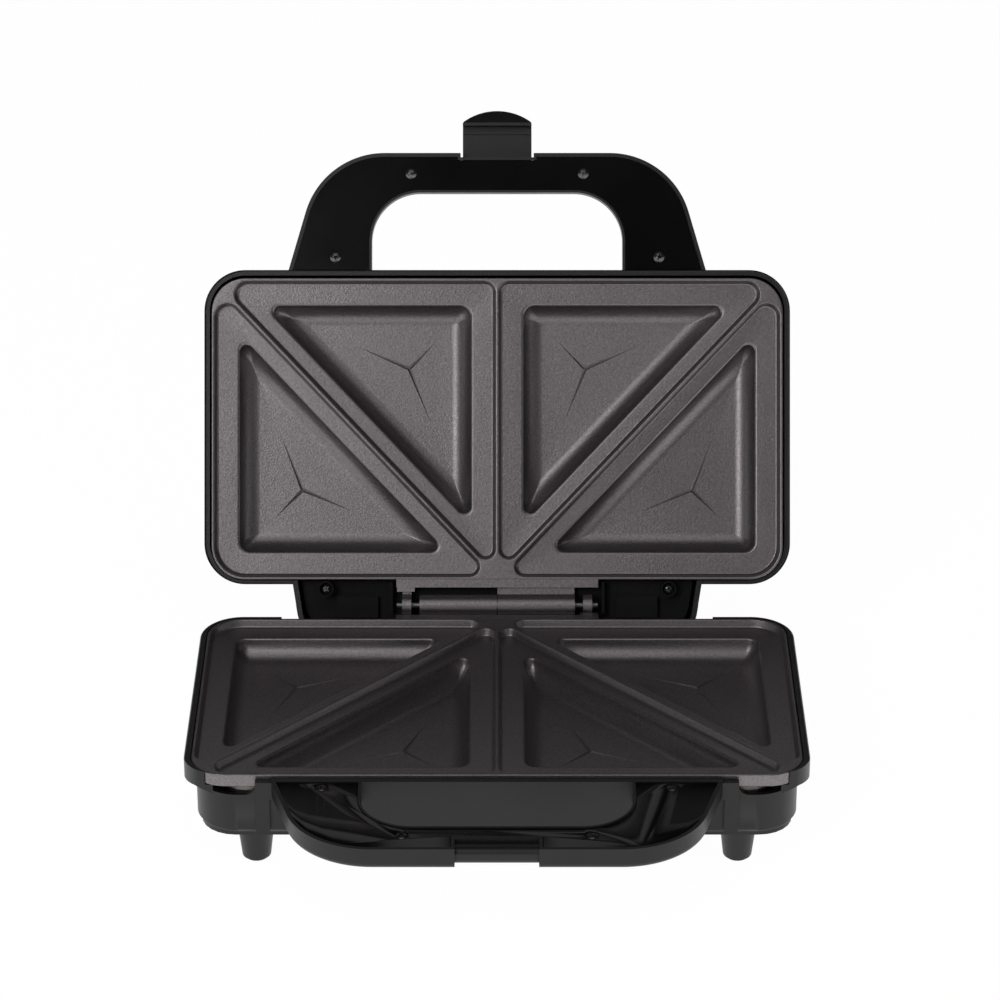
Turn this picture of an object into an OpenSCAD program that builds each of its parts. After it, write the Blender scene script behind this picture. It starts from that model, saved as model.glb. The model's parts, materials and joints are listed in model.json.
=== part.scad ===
// Sandwich toaster with a hinged lid, cast deep-fill plates and loop handles.
// The lid stands open at rest. Lid pieces are drawn as if closed, about the hinge axis, then swung.
// Millimetres. X runs left to right, the handles face -Y and +Z is up from the table.

/* [Plates] */
// Width of each cooking plate
plate_w = 264; // [250:1:290]
// Depth of each cooking plate, front to back
plate_d = 139.5; // [132:0.5:150]
// Corner radius of the plates
plate_corner = 15.7; // [12:0.1:20]
// Height of the plate's outer side wall
plate_side = 6; // [5.5:0.1:7]
// Depth of the triangular lands below the rim
land_depth = 3.5; // [2.5:0.1:4]
// Width of the rim round each plate
plate_rim = 1.5; // [1.2:0.1:3]
// Width of the ridges between the lands
ridge_w = 1.6; // [1:0.1:3]
// Sideways run of the land's slanted wall
land_run = 1.1; // [0.8:0.1:1.6]
// Flat border between a land's straight sides and its pocket
pocket_border = 10.4; // [9:0.1:13]
// Flat border between a land's long side and its pocket
pocket_long_border = 6.9; // [6:0.1:9]
// Depth of the pockets below the lands
pocket_depth = 9.5; // [6:0.1:11]
// Sideways run of the pocket's coved wall
pocket_run = 6.3; // [4:0.1:8]
// Thickness of the casting under the lands and pockets
casting = 2.5; // [2:0.1:3]
// Gap between the two plate rims when the lid is closed
plate_gap = 1.2; // [0.8:0.1:2]
// Depth of the scored star in each pocket
score_depth = 0.4; // [0.2:0.1:0.8]
// Width of a scored line where the three meet
score_w = 1.1; // [0.6:0.1:2]

/* [Hinge] */
// Distance from the plates' rear edges back to the hinge axis
hinge_setback = 11.6; // [11:0.1:14]
// Outer diameter of the cast hinge barrels
barrel_d = 10; // [8.4:0.1:10.4]
// Length of each hinge barrel
barrel_len = 35.6; // [28:0.1:38]
// Diameter of the hinge pin
hinge_pin_d = 3.2; // [2.6:0.1:4]
// Thickness of each hinge ear
ear_t = 4.2; // [3:0.1:6]
// Gap between a hinge ear and the barrel beside it
ear_gap = 3.8; // [2.5:0.1:5]
// How far the lid stands open at rest, in degrees
lid_open = 117; // [100:1:118]

/* [Housings] */
// Width of the lip beside each plate
side_lip = 3.2; // [3:0.1:5]
// Width of the lip in front of each plate
front_lip = 3.6; // [3.4:0.1:5]
// Width of the lip behind each plate
rear_lip = 2; // [1.8:0.1:2.2]
// Wall thickness of the mouldings
wall = 2.4; // [2:0.1:2.6]
// Height of the lid above the parting line
lid_h = 40; // [38:0.5:50]
// Depth of the lower housing below the parting line
tub_h = 28.8; // [28.5:0.1:36]
// Step in from the lip to the lower housing's straight side wall
tub_step = 5.2; // [4.5:0.1:7.5]
// Distance of the hinge hump's sides in from the plates' sides
hump_in = 35; // [28:0.5:40]
// Reach of the hump behind the hinge axis
hump_reach = 14; // [13:0.1:16]
// Height of the hump above the hinge axis
hump_h = 33; // [28:0.5:34]
// Thickness of the base cover
base_t = 2.2; // [2:0.1:3]

/* [Handles] */
// Reach of the handles in front of the plates
handle_reach = 57.8; // [54:0.1:66]
// Distance of the handles' roots in from the plates' sides
handle_in = 34.5; // [30:0.5:38]
// Lean of the handle's sides, in degrees
handle_lean = 16.4; // [10:0.1:18]
// Radius of the handle's outer corners
handle_corner = 38; // [30:0.5:42]
// Width of the finger opening
grip_w = 116; // [104:0.5:122]
// Depth of the finger opening in front of the plates
grip_reach = 39.5; // [36:0.1:44]
// Radius of the finger opening's corners
grip_corner = 22.5; // [16:0.5:26]
// Gap from the parting line to each handle's face
handle_gap = 2; // [1.5:0.1:3]
// Thickness of each handle
handle_t = 10; // [9.6:0.1:12]
// Width of the handle's lip around its cover
cover_lip = 1.9; // [1.6:0.1:2.4]
// Thickness of the handle covers
cover_t = 1.8; // [1.5:0.1:2.4]
// Depth of the covers below the handle's lip
cover_sink = 0.4; // [0.2:0.1:0.8]

/* [Latch] */
// Width of the latch
latch_w = 31.9; // [26:0.1:38]
// Reach of the latch beyond the handle's front
latch_reach = 20.4; // [19:0.1:24]
// Thickness of the latch's front wall
latch_t = 2.4; // [2:0.1:3]
// Diameter of the latch's pin
latch_pin_d = 2.4; // [2:0.1:3]
// Height of the catch bar that the latch hooks under
catch_h = 7.6; // [6.8:0.1:7.8]

/* [Feet] */
// Height of each foot below the base cover
foot_h = 16.6; // [12:0.1:22]
// Diameter of a foot where it meets the base
foot_top_d = 16; // [14:0.1:18]
// Diameter of a foot at the table
foot_low_d = 12.4; // [10:0.1:13.5]
// Distance of the feet in from the side walls
foot_side = 25.5; // [20:0.1:40]
// Distance of the front feet in from the front wall
foot_inset = 12; // [11:0.5:16]

/* [Fits] */
// Gap between parts that sit side by side
part_gap = 0.3; // [0.3:0.05:0.5]
// Radial running clearance of the pins in their bores
run_gap = 0.05; // [0.02:0.01:0.09]

/* [Hidden] */
$fn = 48;
far = 400;          // longer than any part, for cutting
skin = 0.01;        // overlap that fuses solids of one piece
arc_n = 6;          // straight steps in each rounded corner of an outline
big_arc_n = 12;     // the same for the large corners
cove_n = 5;         // steps in a coved wall or rounded edge

// Places, with the hinge axis at y = 0 and z = 0 and the parting line at z = 0
face_z = plate_gap / 2;
rear_y = -hinge_setback;
front_y = rear_y - plate_d;
shell_w = plate_w + 2 * side_lip;
tub_w = shell_w - 2 * tub_step;
hump_half = plate_w / 2 - hump_in;
handle_w = plate_w - 2 * handle_in;
foot_x = tub_w / 2 - foot_side;
shell_front = front_y - front_lip;
shell_rear = rear_y + rear_lip;
shell_corner = plate_corner + side_lip / 2;
under_z = face_z + plate_side;
pocket_floor = face_z + land_depth + pocket_depth;
bulge_z = pocket_floor + casting;
shield_t = 0.8;
shield_gap = 1.6;
shield_z = bulge_z + shield_gap;
lug_z = shield_z + shield_t;
lug_t = 3;
ledge_z = under_z + part_gap;
band_low = ledge_z + 2;
scoop_z = band_low + 0.9;
tub_front = front_y - front_lip + 2.2;
tub_corner = shell_corner;
tub_inner = tub_w / 2 - wall;
handle_front = front_y - handle_reach;
handle_tip_w = handle_w - 2 * handle_reach * tan(handle_lean);
base_z = tub_h + base_t;
floor_z = base_z + foot_h;
pin_hole_r = hinge_pin_d / 2 + run_gap;

// Screws: [thread radius, head radius, head height]
plate_screw = [1.6, 3, 1.8];
cover_screw = [1.4, 2.6, 1.4];
boss_wall = 2.2;
plate_screw_l = 11;
base_screw_l = 7;
cover_screw_l = 6;
hinge_screw_l = 12;

// Where the plates, covers and base are screwed down
boss_r = 3.6;
corner_boss = [plate_w / 2 - 10.2, plate_d - 21.5];
middle_bosses = [20, plate_d - 21.5];
plate_bosses = concat([for (side = [-1, 1]) [side * corner_boss[0], corner_boss[1]]],
    [for (y = middle_bosses) [0, y]]);
// The lower handle's screws lie nearer the plate than the lid's
lower_shift = 2.4;
function grip_screws(shift) = [for (side = [-1, 1]) each [
    [side * (grip_w / 2 - 18.2), front_y - handle_reach + 9.4 + shift],
    [side * (handle_w / 2 - 22.7), front_y - 9.8 + shift]]];
base_posts = [for (side = [-1, 1], y = [front_y + 44, rear_y - 36]) [side * (tub_inner - 5), y]];
tub_rear = shell_rear - 0.8;
base_in = 2;
feet_at = [for (side = [-1, 1],
    y = [tub_front + foot_inset, tub_rear - base_in - foot_top_d / 2 - part_gap]) [side * foot_x, y]];

// Element route under the plate's rim
element_r = 3.2;
element_in = 5.8;
element_bend = 8;
element_z = under_z + element_r + skin * 5;
element_end = 20;

// Latch places, with the latch hooked
latch_pivot = [handle_front + 5.2, handle_gap + handle_t / 2];
latch_hub_r = handle_t / 2 - cover_sink - cover_t - part_gap;
latch_front = handle_front - part_gap;
notch_w = latch_w + 2;
notch_d = 8.2;
notch_open = 2;         // depth of the notch where it runs right through the handle
notch_lip = 1.2;        // lip that borders it against the cover
bar_drop = 1.5;         // from the lower handle's face down to the bar
bar_low = handle_gap + bar_drop + catch_h;
bar_front = handle_front + 2;
bar_round = 3;

// Ends of the whole part at rest, for the origin: the lower handle in front, the lid behind
latch_back = latch_pivot[1] + latch_pivot[0] - latch_front + latch_t;
function turned_y(y, z) = y * cos(lid_open) + z * sin(lid_open);
back_y = max(turned_y(handle_front - latch_reach, latch_back), turned_y(handle_front, handle_gap + handle_t));
origin_y = (handle_front + back_y) / 2;

// Colours
black_plastic = [0.05, 0.05, 0.055];
gloss_black = [0.03, 0.03, 0.03];
coated = [0.24, 0.23, 0.24];
steel = [0.72, 0.72, 0.74];
rubber = [0.08, 0.08, 0.08];

// ---- Outlines ----
function unit(a) = a / norm(a);
function left_of(a) = [-a[1], a[0]];
function meet(p, d, q, e) = p + d * ((q - p) * left_of(e)) / (d * left_of(e));

// An anticlockwise outline with each side moved inwards by its own gap
function moved_in(pts, gaps) = let (n = len(pts)) [for (i = [0 : n - 1])
    let (a = pts[(i + n - 1) % n], b = pts[i], c = pts[(i + 1) % n], d = unit(b - a), e = unit(c - b))
    meet(b + left_of(d) * gaps[(i + n - 1) % n], d, b + left_of(e) * gaps[i], e)];
function all_in(pts, gap) = moved_in(pts, [for (p = pts) gap]);

// The same outline with round corners, each in steps straight pieces
function corner_arc(a, b, c, r, steps) = let (u = unit(a - b), w = unit(c - b), half = acos(u * w) / 2,
    mid = b + unit(u + w) * r / sin(half), start = b + u * r / tan(half) - mid,
    sweep = (180 - 2 * half) * sign(u[1] * w[0] - u[0] * w[1]))
    [for (k = [0 : steps]) let (t = sweep * k / steps)
        mid + [start[0] * cos(t) - start[1] * sin(t), start[0] * sin(t) + start[1] * cos(t)]];
function rounded(pts, radii, steps = arc_n) = let (n = len(pts)) [for (i = [0 : n - 1])
    each radii[i] == 0 ? [pts[i]] : corner_arc(pts[(i + n - 1) % n], pts[i], pts[(i + 1) % n], radii[i], steps)];
function less(radii, gap) = [for (r = radii) r == 0 ? 0 : max(r - gap, 0.4)];
function rounded_in(pts, radii, gap, steps = arc_n) =
    rounded(all_in(pts, gap), less(radii, gap), steps);
function box_outline(x, y0, y1) = [[-x, y0], [x, y0], [x, y1], [-x, y1]];

// Steps down a coved wall: [drop, inset] for a quarter ellipse
function cove(drop, run) = [for (k = [0 : cove_n]) let (a = 90 * k / cove_n)
    [drop * sin(a), run * (1 - cos(a))]];

// Solid through a stack of outlines, each [height, points], heights rising
module loft(rings) {
    n = len(rings[0][1]);
    m = len(rings);
    polyhedron(
        [for (ring = rings, p = ring[1]) [p[0], p[1], ring[0]]],
        concat([[for (i = [0 : n - 1]) i]], [[for (i = [n - 1 : -1 : 0]) (m - 1) * n + i]],
            [for (k = [0 : m - 2], i = [0 : n - 1]) let (j = (i + 1) % n)
                [k * n + i, (k + 1) * n + i, (k + 1) * n + j, k * n + j]]));
}
// Plain slab of an outline between two heights
module slab(pts, z0, z1) translate([0, 0, z0]) linear_extrude(z1 - z0) polygon(pts);
module block(x, y, z) translate([x[0], y[0], z[0]]) cube([x[1] - x[0], y[1] - y[0], z[1] - z[0]]);
module bore(at, r, z0, z1) translate([at[0], at[1], z0]) cylinder(r = r, h = z1 - z0);
module x_rod(y, z, r, x0, x1) translate([x0, y, z]) rotate([0, 90, 0]) cylinder(r = r, h = x1 - x0);
// Bar of a [y, z] side profile, reaching half to each side of the middle
module x_profile(pts, half) rotate([90, 0, 90]) translate([0, 0, -half]) linear_extrude(2 * half) polygon(pts);
// Bar of an [x, z] front profile between two depths
module y_profile(pts, y0, y1) translate([0, y1, 0]) rotate([90, 0, 0]) linear_extrude(y1 - y0) polygon(pts);
// Room for a plate inside a housing
plate_seat = rounded(box_outline(plate_w / 2 + part_gap, front_y - part_gap, rear_y + part_gap),
    [for (i = [0 : 3]) plate_corner + part_gap]);
module both_sides() { children(); mirror([1, 0, 0]) children(); }

// Base pieces, and lid pieces swung open, in the part's own frame
module on_base() translate([0, -origin_y, floor_z]) children();
module on_lid() translate([0, -origin_y, floor_z]) rotate([-lid_open, 0, 0]) children();
// A piece drawn for the base, turned over for the lid
module turned_over() rotate([0, 180, 0]) children();
// A place on a plate from [across, in from the rear edge]
function on_plate(p) = [p[0], rear_y - p[1]];

// Screw hanging from its head's underside at z = 0, head up
module screw(size, length) {
    head_r = size[1];
    difference() {
        union() {
            translate([0, 0, -length]) cylinder(r = size[0], h = length + skin);
            intersection() {
                cylinder(r = head_r, h = size[2]);
                translate([0, 0, size[2] - head_r * 1.6]) sphere(r = head_r * 1.6);
            }
        }
        for (a = [0, 90]) rotate([0, 0, a])
            translate([-head_r * 0.55, -head_r * 0.13, size[2] * 0.4])
                cube([head_r * 1.1, head_r * 0.26, size[2]]);
    }
}

// ---- Cooking plates, drawn as the lower one ----
cell = [ridge_w / 2, plate_w / 2 - plate_rim, rear_y - plate_rim, front_y + plate_rim];
// The two triangles of the right-hand half: [rounding of each corner at the land, corners], long side first
lands = [
    [[3.5, 5, plate_corner - plate_rim - land_run], [[cell[0], cell[2]], [cell[1], cell[3]], [cell[1], cell[2]]]],
    [[5, 3.5, 4], [[cell[1], cell[3]], [cell[0], cell[2]], [cell[0], cell[3]]]]];
function land_outline(land, gap) = rounded(moved_in(land[1], [ridge_w / 2 + gap, gap, gap]),
    less(land[0], gap - land_run));
function pocket_corners(land) = moved_in(land[1],
    [ridge_w / 2 + land_run + pocket_long_border, land_run + pocket_border, land_run + pocket_border]);
pocket_radii = [3.1, 3.1, 5];
function pocket_outline(land, gap) =
    rounded(all_in(pocket_corners(land), gap), less(pocket_radii, gap * 0.6));
// Centre of the circle that fits inside a triangle
function inner_centre(t) =
    let (a = norm(t[1] - t[2]), b = norm(t[2] - t[0]), c = norm(t[0] - t[1]))
    (t[0] * a + t[1] * b + t[2] * c) / (a + b + c);

module land_cut(land) loft([
    [-face_z - land_depth, land_outline(land, land_run)],
    [-face_z, land_outline(land, 0)],
    [-face_z + land_depth, land_outline(land, -land_run)]]);

module pocket_cut(land) {
    steps = cove(pocket_depth, pocket_run);
    loft(concat([for (k = [cove_n : -1 : 0])
        [-face_z - land_depth - steps[k][0], pocket_outline(land, steps[k][1])]],
        [[-face_z, pocket_outline(land, 0)]]));
}
module pocket_bulge(land) {
    steps = cove(pocket_depth, pocket_run);
    loft(concat([for (k = [cove_n : -1 : 0])
        [-face_z - land_depth - casting - steps[k][0], pocket_outline(land, steps[k][1] - casting)]],
        [[-face_z - land_depth - skin, pocket_outline(land, -casting)]]));
}
// Three scored lines from the pocket's middle towards its corners
module score(land) {
    t = pocket_corners(land);
    mid = inner_centre(t);
    reach = [0.36, 0.36, 0.46];
    translate([0, 0, -pocket_floor - score_depth]) linear_extrude(score_depth * 2)
        for (i = [0 : 2]) {
            along = (t[i] - mid) * reach[i];
            across = left_of(unit(along)) * score_w / 2;
            polygon([mid - across, mid - unit(along) * score_w / 2, mid + across,
                mid + along * 0.3 + across, mid + along, mid + along * 0.3 - across]);
        }
}
flange_half = barrel_len + ear_gap + ear_t + 3;
flange_back = rear_y + 3.5;
ear_x = part_gap / 2 + barrel_len + ear_gap;
barrel_r = barrel_d / 2;
module hinge_knuckles() {
    web_top = -face_z - 2.6;
    flange_t = 4.4;
    block([-flange_half, flange_half], [rear_y - plate_rim, flange_back], [-face_z - flange_t, -face_z]);
    // Barrel on the left, ear on the right
    block([-ear_x + ear_gap, -part_gap / 2], [flange_back - skin, 0], [-barrel_r, web_top]);
    x_rod(0, 0, barrel_r, -ear_x + ear_gap, -part_gap / 2);
    block([ear_x, ear_x + ear_t], [flange_back - skin, 0], [-barrel_r, web_top]);
    block([ear_x - 1.5, ear_x + ear_t + 2.5], [flange_back - skin, flange_back + 2], [-face_z - flange_t, -face_z]);
    x_rod(0, 0, barrel_r, ear_x, ear_x + ear_t);
}
module plate() color(coated) difference() {
    union() {
        slab(rounded(box_outline(plate_w / 2, front_y, rear_y), [for (i = [0 : 3]) plate_corner]),
            -under_z, -face_z);
        both_sides() for (land = lands) pocket_bulge(land);
        hinge_knuckles();
        for (p = plate_bosses) bore(on_plate(p), boss_r, -shield_z, -under_z + skin);
    }
    both_sides() for (land = lands) {
        land_cut(land);
        pocket_cut(land);
        score(land);
    }
    x_rod(0, 0, pin_hole_r, -far, far);
    for (p = plate_bosses) bore(on_plate(p), plate_screw[0] + run_gap, -shield_z - 1, -under_z - 2);
}
module lower_plate() on_base() plate();
module upper_plate() on_lid() turned_over() plate();

// ---- Heating elements and what lies under each plate ----
// A trapezium: along the front, then down between the two pockets of each half
element_bottom = [cell[0], cell[2]];
element_slope = unit([cell[1], cell[3]] - element_bottom);
element_turn = meet(element_bottom, element_slope, [0, front_y + element_in], [1, 0]);
element_half = acos(element_slope * [1, 0]) / 2;
function mirrored(pts) = [for (i = [len(pts) - 1 : -1 : 0]) [-pts[i][0], pts[i][1]]];
element_right = concat(corner_arc([0, element_turn[1]], element_turn, element_bottom, element_bend, arc_n),
    [element_bottom + element_slope * element_end]);
element_route = concat(mirrored(element_right), element_right);
// Round tube along a flat route, closed at both ends
tube_sides = 12;
module tube(route, r) {
    n = len(route);
    polyhedron(
        [for (i = [0 : n - 1])
            let (into = unit(route[max(i, 1)] - route[max(i, 1) - 1]),
                out = unit(route[min(i + 1, n - 1)] - route[min(i, n - 2)]),
                across = left_of(unit(into + out)) / cos(acos(min(into * out, 1)) / 2))
            for (k = [0 : tube_sides - 1]) let (a = 360 * k / tube_sides)
                [route[i][0] + across[0] * r * cos(a), route[i][1] + across[1] * r * cos(a), r * sin(a)]],
        concat([[for (k = [0 : tube_sides - 1]) k]],
            [[for (k = [tube_sides - 1 : -1 : 0]) (n - 1) * tube_sides + k]],
            [for (i = [0 : n - 2], k = [0 : tube_sides - 1]) let (j = (k + 1) % tube_sides)
                [i * tube_sides + k, (i + 1) * tube_sides + k, (i + 1) * tube_sides + j, i * tube_sides + j]]));
}
module element() color(steel) translate([0, 0, -element_z]) {
    tube(element_route, element_r);
    both_sides() translate([element_bottom[0], element_bottom[1], 0])
        rotate([0, 0, atan2(element_slope[1], element_slope[0])]) rotate([0, 90, 0])
            translate([0, 0, element_end - 8]) cylinder(r = element_r * 0.4, h = 8 + 1);
}
module lower_element() on_base() element();
module upper_element() on_lid() turned_over() element();

shield_wall = 4;
shield_in = wall + 1.2;
wire_hole_r = 3.5;
wire_hole_in = 6;
gland_room = 2.6;
module heat_shield() color(steel) {
    difference() {
        slab(rounded_in(tub_box, tub_radii, shield_in), -lug_z, -shield_z + shield_wall);
        slab(rounded_in(tub_box, tub_radii, shield_in + shield_t), -shield_z, -shield_z + shield_wall + 1);
        for (p = plate_bosses) {
            bore(on_plate(p), plate_screw[0] + part_gap, -lug_z - 1, -shield_z + 1);
            bore(on_plate(p), boss_r + part_gap, -shield_z, 0);
        }
        // Holes for the wiring, and room for the cord gland
        both_sides() bore(element_bottom + element_slope * (element_end - wire_hole_in), wire_hole_r,
            -lug_z - 1, -shield_z + 1);
        block([gland_x - gland_r - gland_room, gland_x + gland_r + gland_room],
            [tub_rear - wall - gland_room * 2, 0], [-far, 0]);
    }
}
module lower_heat_shield() on_base() heat_shield();
module upper_heat_shield() on_lid() turned_over() heat_shield();

// Screws up through the lugs into a plate's bosses
module plate_screws() color(steel) for (p = plate_bosses)
    translate([on_plate(p)[0], on_plate(p)[1], -lug_z - lug_t]) mirror([0, 0, 1])
        screw(plate_screw, plate_screw_l);
module lower_plate_screws() on_base() plate_screws();
module upper_plate_screws() on_lid() turned_over() plate_screws();

// Held in the valley between the pockets, from the plate's underside down
valley_r = cell[0] + land_run + pocket_border - casting - 1.4;
disc_t = 5;
neck_t = 3.5;
blade_l = 2;
module thermostat() on_base() color(steel)
    translate([0, front_y + plate_d * 0.55, -under_z]) mirror([0, 0, 1]) {
        bore([0, 0], valley_r, skin, disc_t);
        bore([0, 0], valley_r * 0.55, disc_t - skin, disc_t + neck_t);
        both_sides() block([1.2, 3], [-0.4, 0.4], [disc_t + neck_t - skin, disc_t + neck_t + blade_l]);
    }
module thermal_fuse() on_base() color("white") {
    fuse_y = front_y + plate_d * 0.35;
    x_rod(fuse_y, -under_z - 2.2, 2.1, -valley_r * 0.6, valley_r * 0.6);
    color(steel) both_sides() x_rod(fuse_y, -under_z - 2.2, 0.5, valley_r * 0.6 - skin, valley_r);
}

// ---- Handles, drawn as the lid's: face towards the parting line, back upwards ----
handle_top = handle_gap + handle_t;
cover_low = handle_gap + cover_sink;
cover_high = cover_low + cover_t;
grip_lip = 1.2;
handle_edge = 3;
head_sink = 0.7;        // how deep the cover's screws are sunk
function handle_half(y) = handle_w / 2 + (y - front_y) * tan(handle_lean);
function handle_pts(y) = [[-handle_tip_w / 2, handle_front], [handle_tip_w / 2, handle_front],
    [handle_half(y), y], [-handle_half(y), y]];
function handle_outline(y, gap) = rounded(moved_in(handle_pts(y), [gap, gap, 0, gap]),
    less([handle_corner, handle_corner, 0, 0], gap), big_arc_n);
function grip_outline(y, gap) =
    rounded(moved_in(box_outline(grip_w / 2, front_y - grip_reach, y), [gap, gap, 0, gap]),
        less([grip_corner, grip_corner, 0, 0], gap), big_arc_n);
module handle_body(root_y, shift) difference() {
    edge = cove(handle_edge, handle_edge);
    loft(concat([[handle_gap, handle_outline(root_y, 0)]],
        [for (k = [0 : cove_n]) [handle_top - handle_edge + edge[k][0], handle_outline(root_y, edge[k][1])]]));
    slab(grip_outline(shell_front, 0), handle_gap - 1, handle_top + 1);
    difference() {
        slab(handle_outline(shell_front, cover_lip - part_gap / 3), handle_gap - 1, cover_high);
        slab(grip_outline(shell_front, part_gap / 3 - grip_lip), handle_gap - 1, cover_high);
    }
    difference() {
        slab(handle_outline(shell_front, wall + 1), cover_high - skin, handle_top - wall);
        slab(grip_outline(shell_front, -wall - 1), cover_high - skin, handle_top - wall);
        for (p = grip_screws(shift)) bore(p, cover_screw[0] + boss_wall, cover_high - 1, handle_top);
    }
    for (p = grip_screws(shift)) bore(p, cover_screw[0] + run_gap, handle_gap, handle_top - wall);
}
// notch is the [half width, depth] of the gap in the cover's front edge
module handle_cover(shift, notch) color(gloss_black) difference() {
    slab(handle_outline(shell_front - part_gap, cover_lip), cover_low, cover_high);
    slab(grip_outline(shell_front, -grip_lip), cover_low - 1, cover_high + 1);
    for (p = grip_screws(shift)) bore(p, cover_screw[0] + part_gap, cover_low - 1, cover_high + 1);
    for (p = grip_screws(shift)) bore(p, cover_screw[1] + part_gap, cover_low - 1, cover_low + head_sink);
    block([-notch[0], notch[0]], [-far, handle_front + notch[1]], [cover_low - 1, cover_high + 1]);
}
module handle_screws(shift) color(steel) for (p = grip_screws(shift))
    translate([p[0], p[1], cover_low + head_sink]) mirror([0, 0, 1]) screw(cover_screw, cover_screw_l);
// Walls of a notch in the handle's front: cheeks at both ends and a back, from a height up
module notch_walls(half, cheek, low) {
    both_sides() block([half - skin, half + cheek],
        [handle_front + 1.5, handle_front + notch_d + wall], [low, handle_top - 1]);
    block([-half - cheek, half + cheek],
        [handle_front + notch_d, handle_front + notch_d + wall], [low, handle_top - 1]);
}

catch_half = latch_w / 2 + 1.65;
catch_cheek = 1.6;
pin_cheek = 3;
module lower_handle_cover() on_base() mirror([0, 0, 1])
    handle_cover(lower_shift, [catch_half + catch_cheek + part_gap, notch_d + wall + part_gap]);
module upper_handle_cover() on_lid() handle_cover(0, [notch_w / 2 + notch_lip + part_gap,
    notch_open + notch_lip + part_gap / 3]);
module lower_handle_screws() on_base() mirror([0, 0, 1]) handle_screws(lower_shift);
module upper_handle_screws() on_lid() handle_screws(0);

// ---- Lower housing ----
tub_radii = [for (i = [0 : 3]) tub_corner];
shell_radii = [for (i = [0 : 3]) shell_corner];
tub_box = box_outline(tub_w / 2, tub_front, tub_rear);
shell_box = box_outline(shell_w / 2, shell_front, shell_rear);
pillar_w = 6;
pillar_side = handle_half(front_y) + pillar_w;
band_step = 2.4;        // height of the slope from the wall out to the lip
band_end = front_y + 8; // where the side lips and the scoops end
module tub_shell() difference() {
    loft([[-tub_h, rounded_in(tub_box, tub_radii, 1.2)],
        [-tub_h + 1.6, rounded_in(tub_box, tub_radii, 0)],
        [-band_low - band_step, rounded_in(tub_box, tub_radii, 0)],
        [-band_low - 0.6, rounded_in(shell_box, shell_radii, 1.6)],
        [-band_low + 1.2, rounded_in(shell_box, shell_radii, 0)],
        [-face_z, rounded_in(shell_box, shell_radii, 0)]]);
    // Room inside, and the seat for the plate
    slab(rounded_in(tub_box, tub_radii, wall), -tub_h - 1, 1);
    slab(plate_seat, -ledge_z, 1);
    // Scoops under the plate's front corners, with a low wall left behind them
    both_sides() difference() {
        scoop();
        slab(rounded_in(tub_box, tub_radii, scoop_wall), -far, far);
    }
    // Room in front of the plate for the handle's face
    block([-pillar_side, pillar_side], [-far, front_y - part_gap], [-handle_gap - 0.6, 1]);
    // The side lips run out into the wall before the front corners
    both_sides() difference() {
        slab([[pillar_side, -far], [far, -far], [far, band_end + tub_step],
            [shell_w / 2, band_end + tub_step], [tub_w / 2, band_end], [pillar_side, band_end]],
            -band_low - band_step, 1);
        slab(rounded_in(tub_box, tub_radii, 0), -far, far);
    }
    // Low wall between the handle's arms, and behind the hinge
    block([-grip_w / 2 - 1, grip_w / 2 + 1], [-far, band_end], [-under_z + 0.4, 1]);
    block([-hump_half - 2, hump_half + 2], [rear_y - 3, far], [-band_low - 0.4, 1]);
}
// A cut with a rounded foot beside the pillar
scoop_wall = 1.2;
scoop_r = 4.5;
module scoop() {
    foot = [pillar_side + scoop_r, -scoop_z + scoop_r];
    translate([0, band_end, 0]) rotate([90, 0, 0]) linear_extrude(far) polygon(concat(
        [for (k = [0 : arc_n]) let (a = 180 + 90 * k / arc_n) foot + scoop_r * [cos(a), sin(a)]],
        [[far, -scoop_z], [far, 1], [pillar_side, 1]]));
}
module lower_housing() on_base() color(black_plastic) difference() {
    union() {
        tub_shell();
        difference() {
            mirror([0, 0, 1]) handle_body(tub_front + 1, lower_shift);
            block([-catch_half, catch_half], [-far, handle_front + notch_d], [-far, far]);
        }
        mirror([0, 0, 1]) notch_walls(catch_half, catch_cheek, handle_gap);
        // Bar that the latch hooks under, round in front
        x_profile(rounded([[bar_front, -bar_low], [handle_front + notch_d + skin, -bar_low],
            [handle_front + notch_d + skin, catch_h - bar_low], [bar_front, catch_h - bar_low]],
            [bar_round, 0, 0, bar_round]), catch_half + skin);
        // Pillars beside the handle's arms
        both_sides() block([handle_half(front_y), pillar_side], [shell_front, tub_front + 1],
            [-tub_h + 1.6, -handle_gap - 0.6]);
        lugs(tub_inner + 0.5, tub_front + wall / 2, tub_rear - wall / 2);
        for (p = base_posts) {
            bore(p, post_r, -tub_h, -lug_z - lug_t);
            post_web(p, tub_inner + 1, 0, -tub_h, -lug_z - lug_t);
        }
    }
    for (p = plate_bosses) bore(on_plate(p), plate_screw[0] + run_gap, -lug_z - lug_t - 1, -lug_z + 1);
    for (p = base_posts) bore(p, plate_screw[0] + run_gap, -tub_h - 1, -lug_z - lug_t - 1);
    translate([gland_x, 0, gland_z]) rotate([90, 0, 0])
        cylinder(r = gland_r + part_gap / 3, h = far, center = true);
}
// Posts for the base's screws, and the web that ties each to the side wall
post_r = 3.8;
post_web_t = 2.4;
module post_web(p, out, gap, z0, z1) block(
    [min(p[0], sign(p[0]) * out), max(p[0], sign(p[0]) * out)],
    [p[1] - post_web_t / 2 - gap, p[1] + post_web_t / 2 + gap], [z0, z1]);
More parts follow.
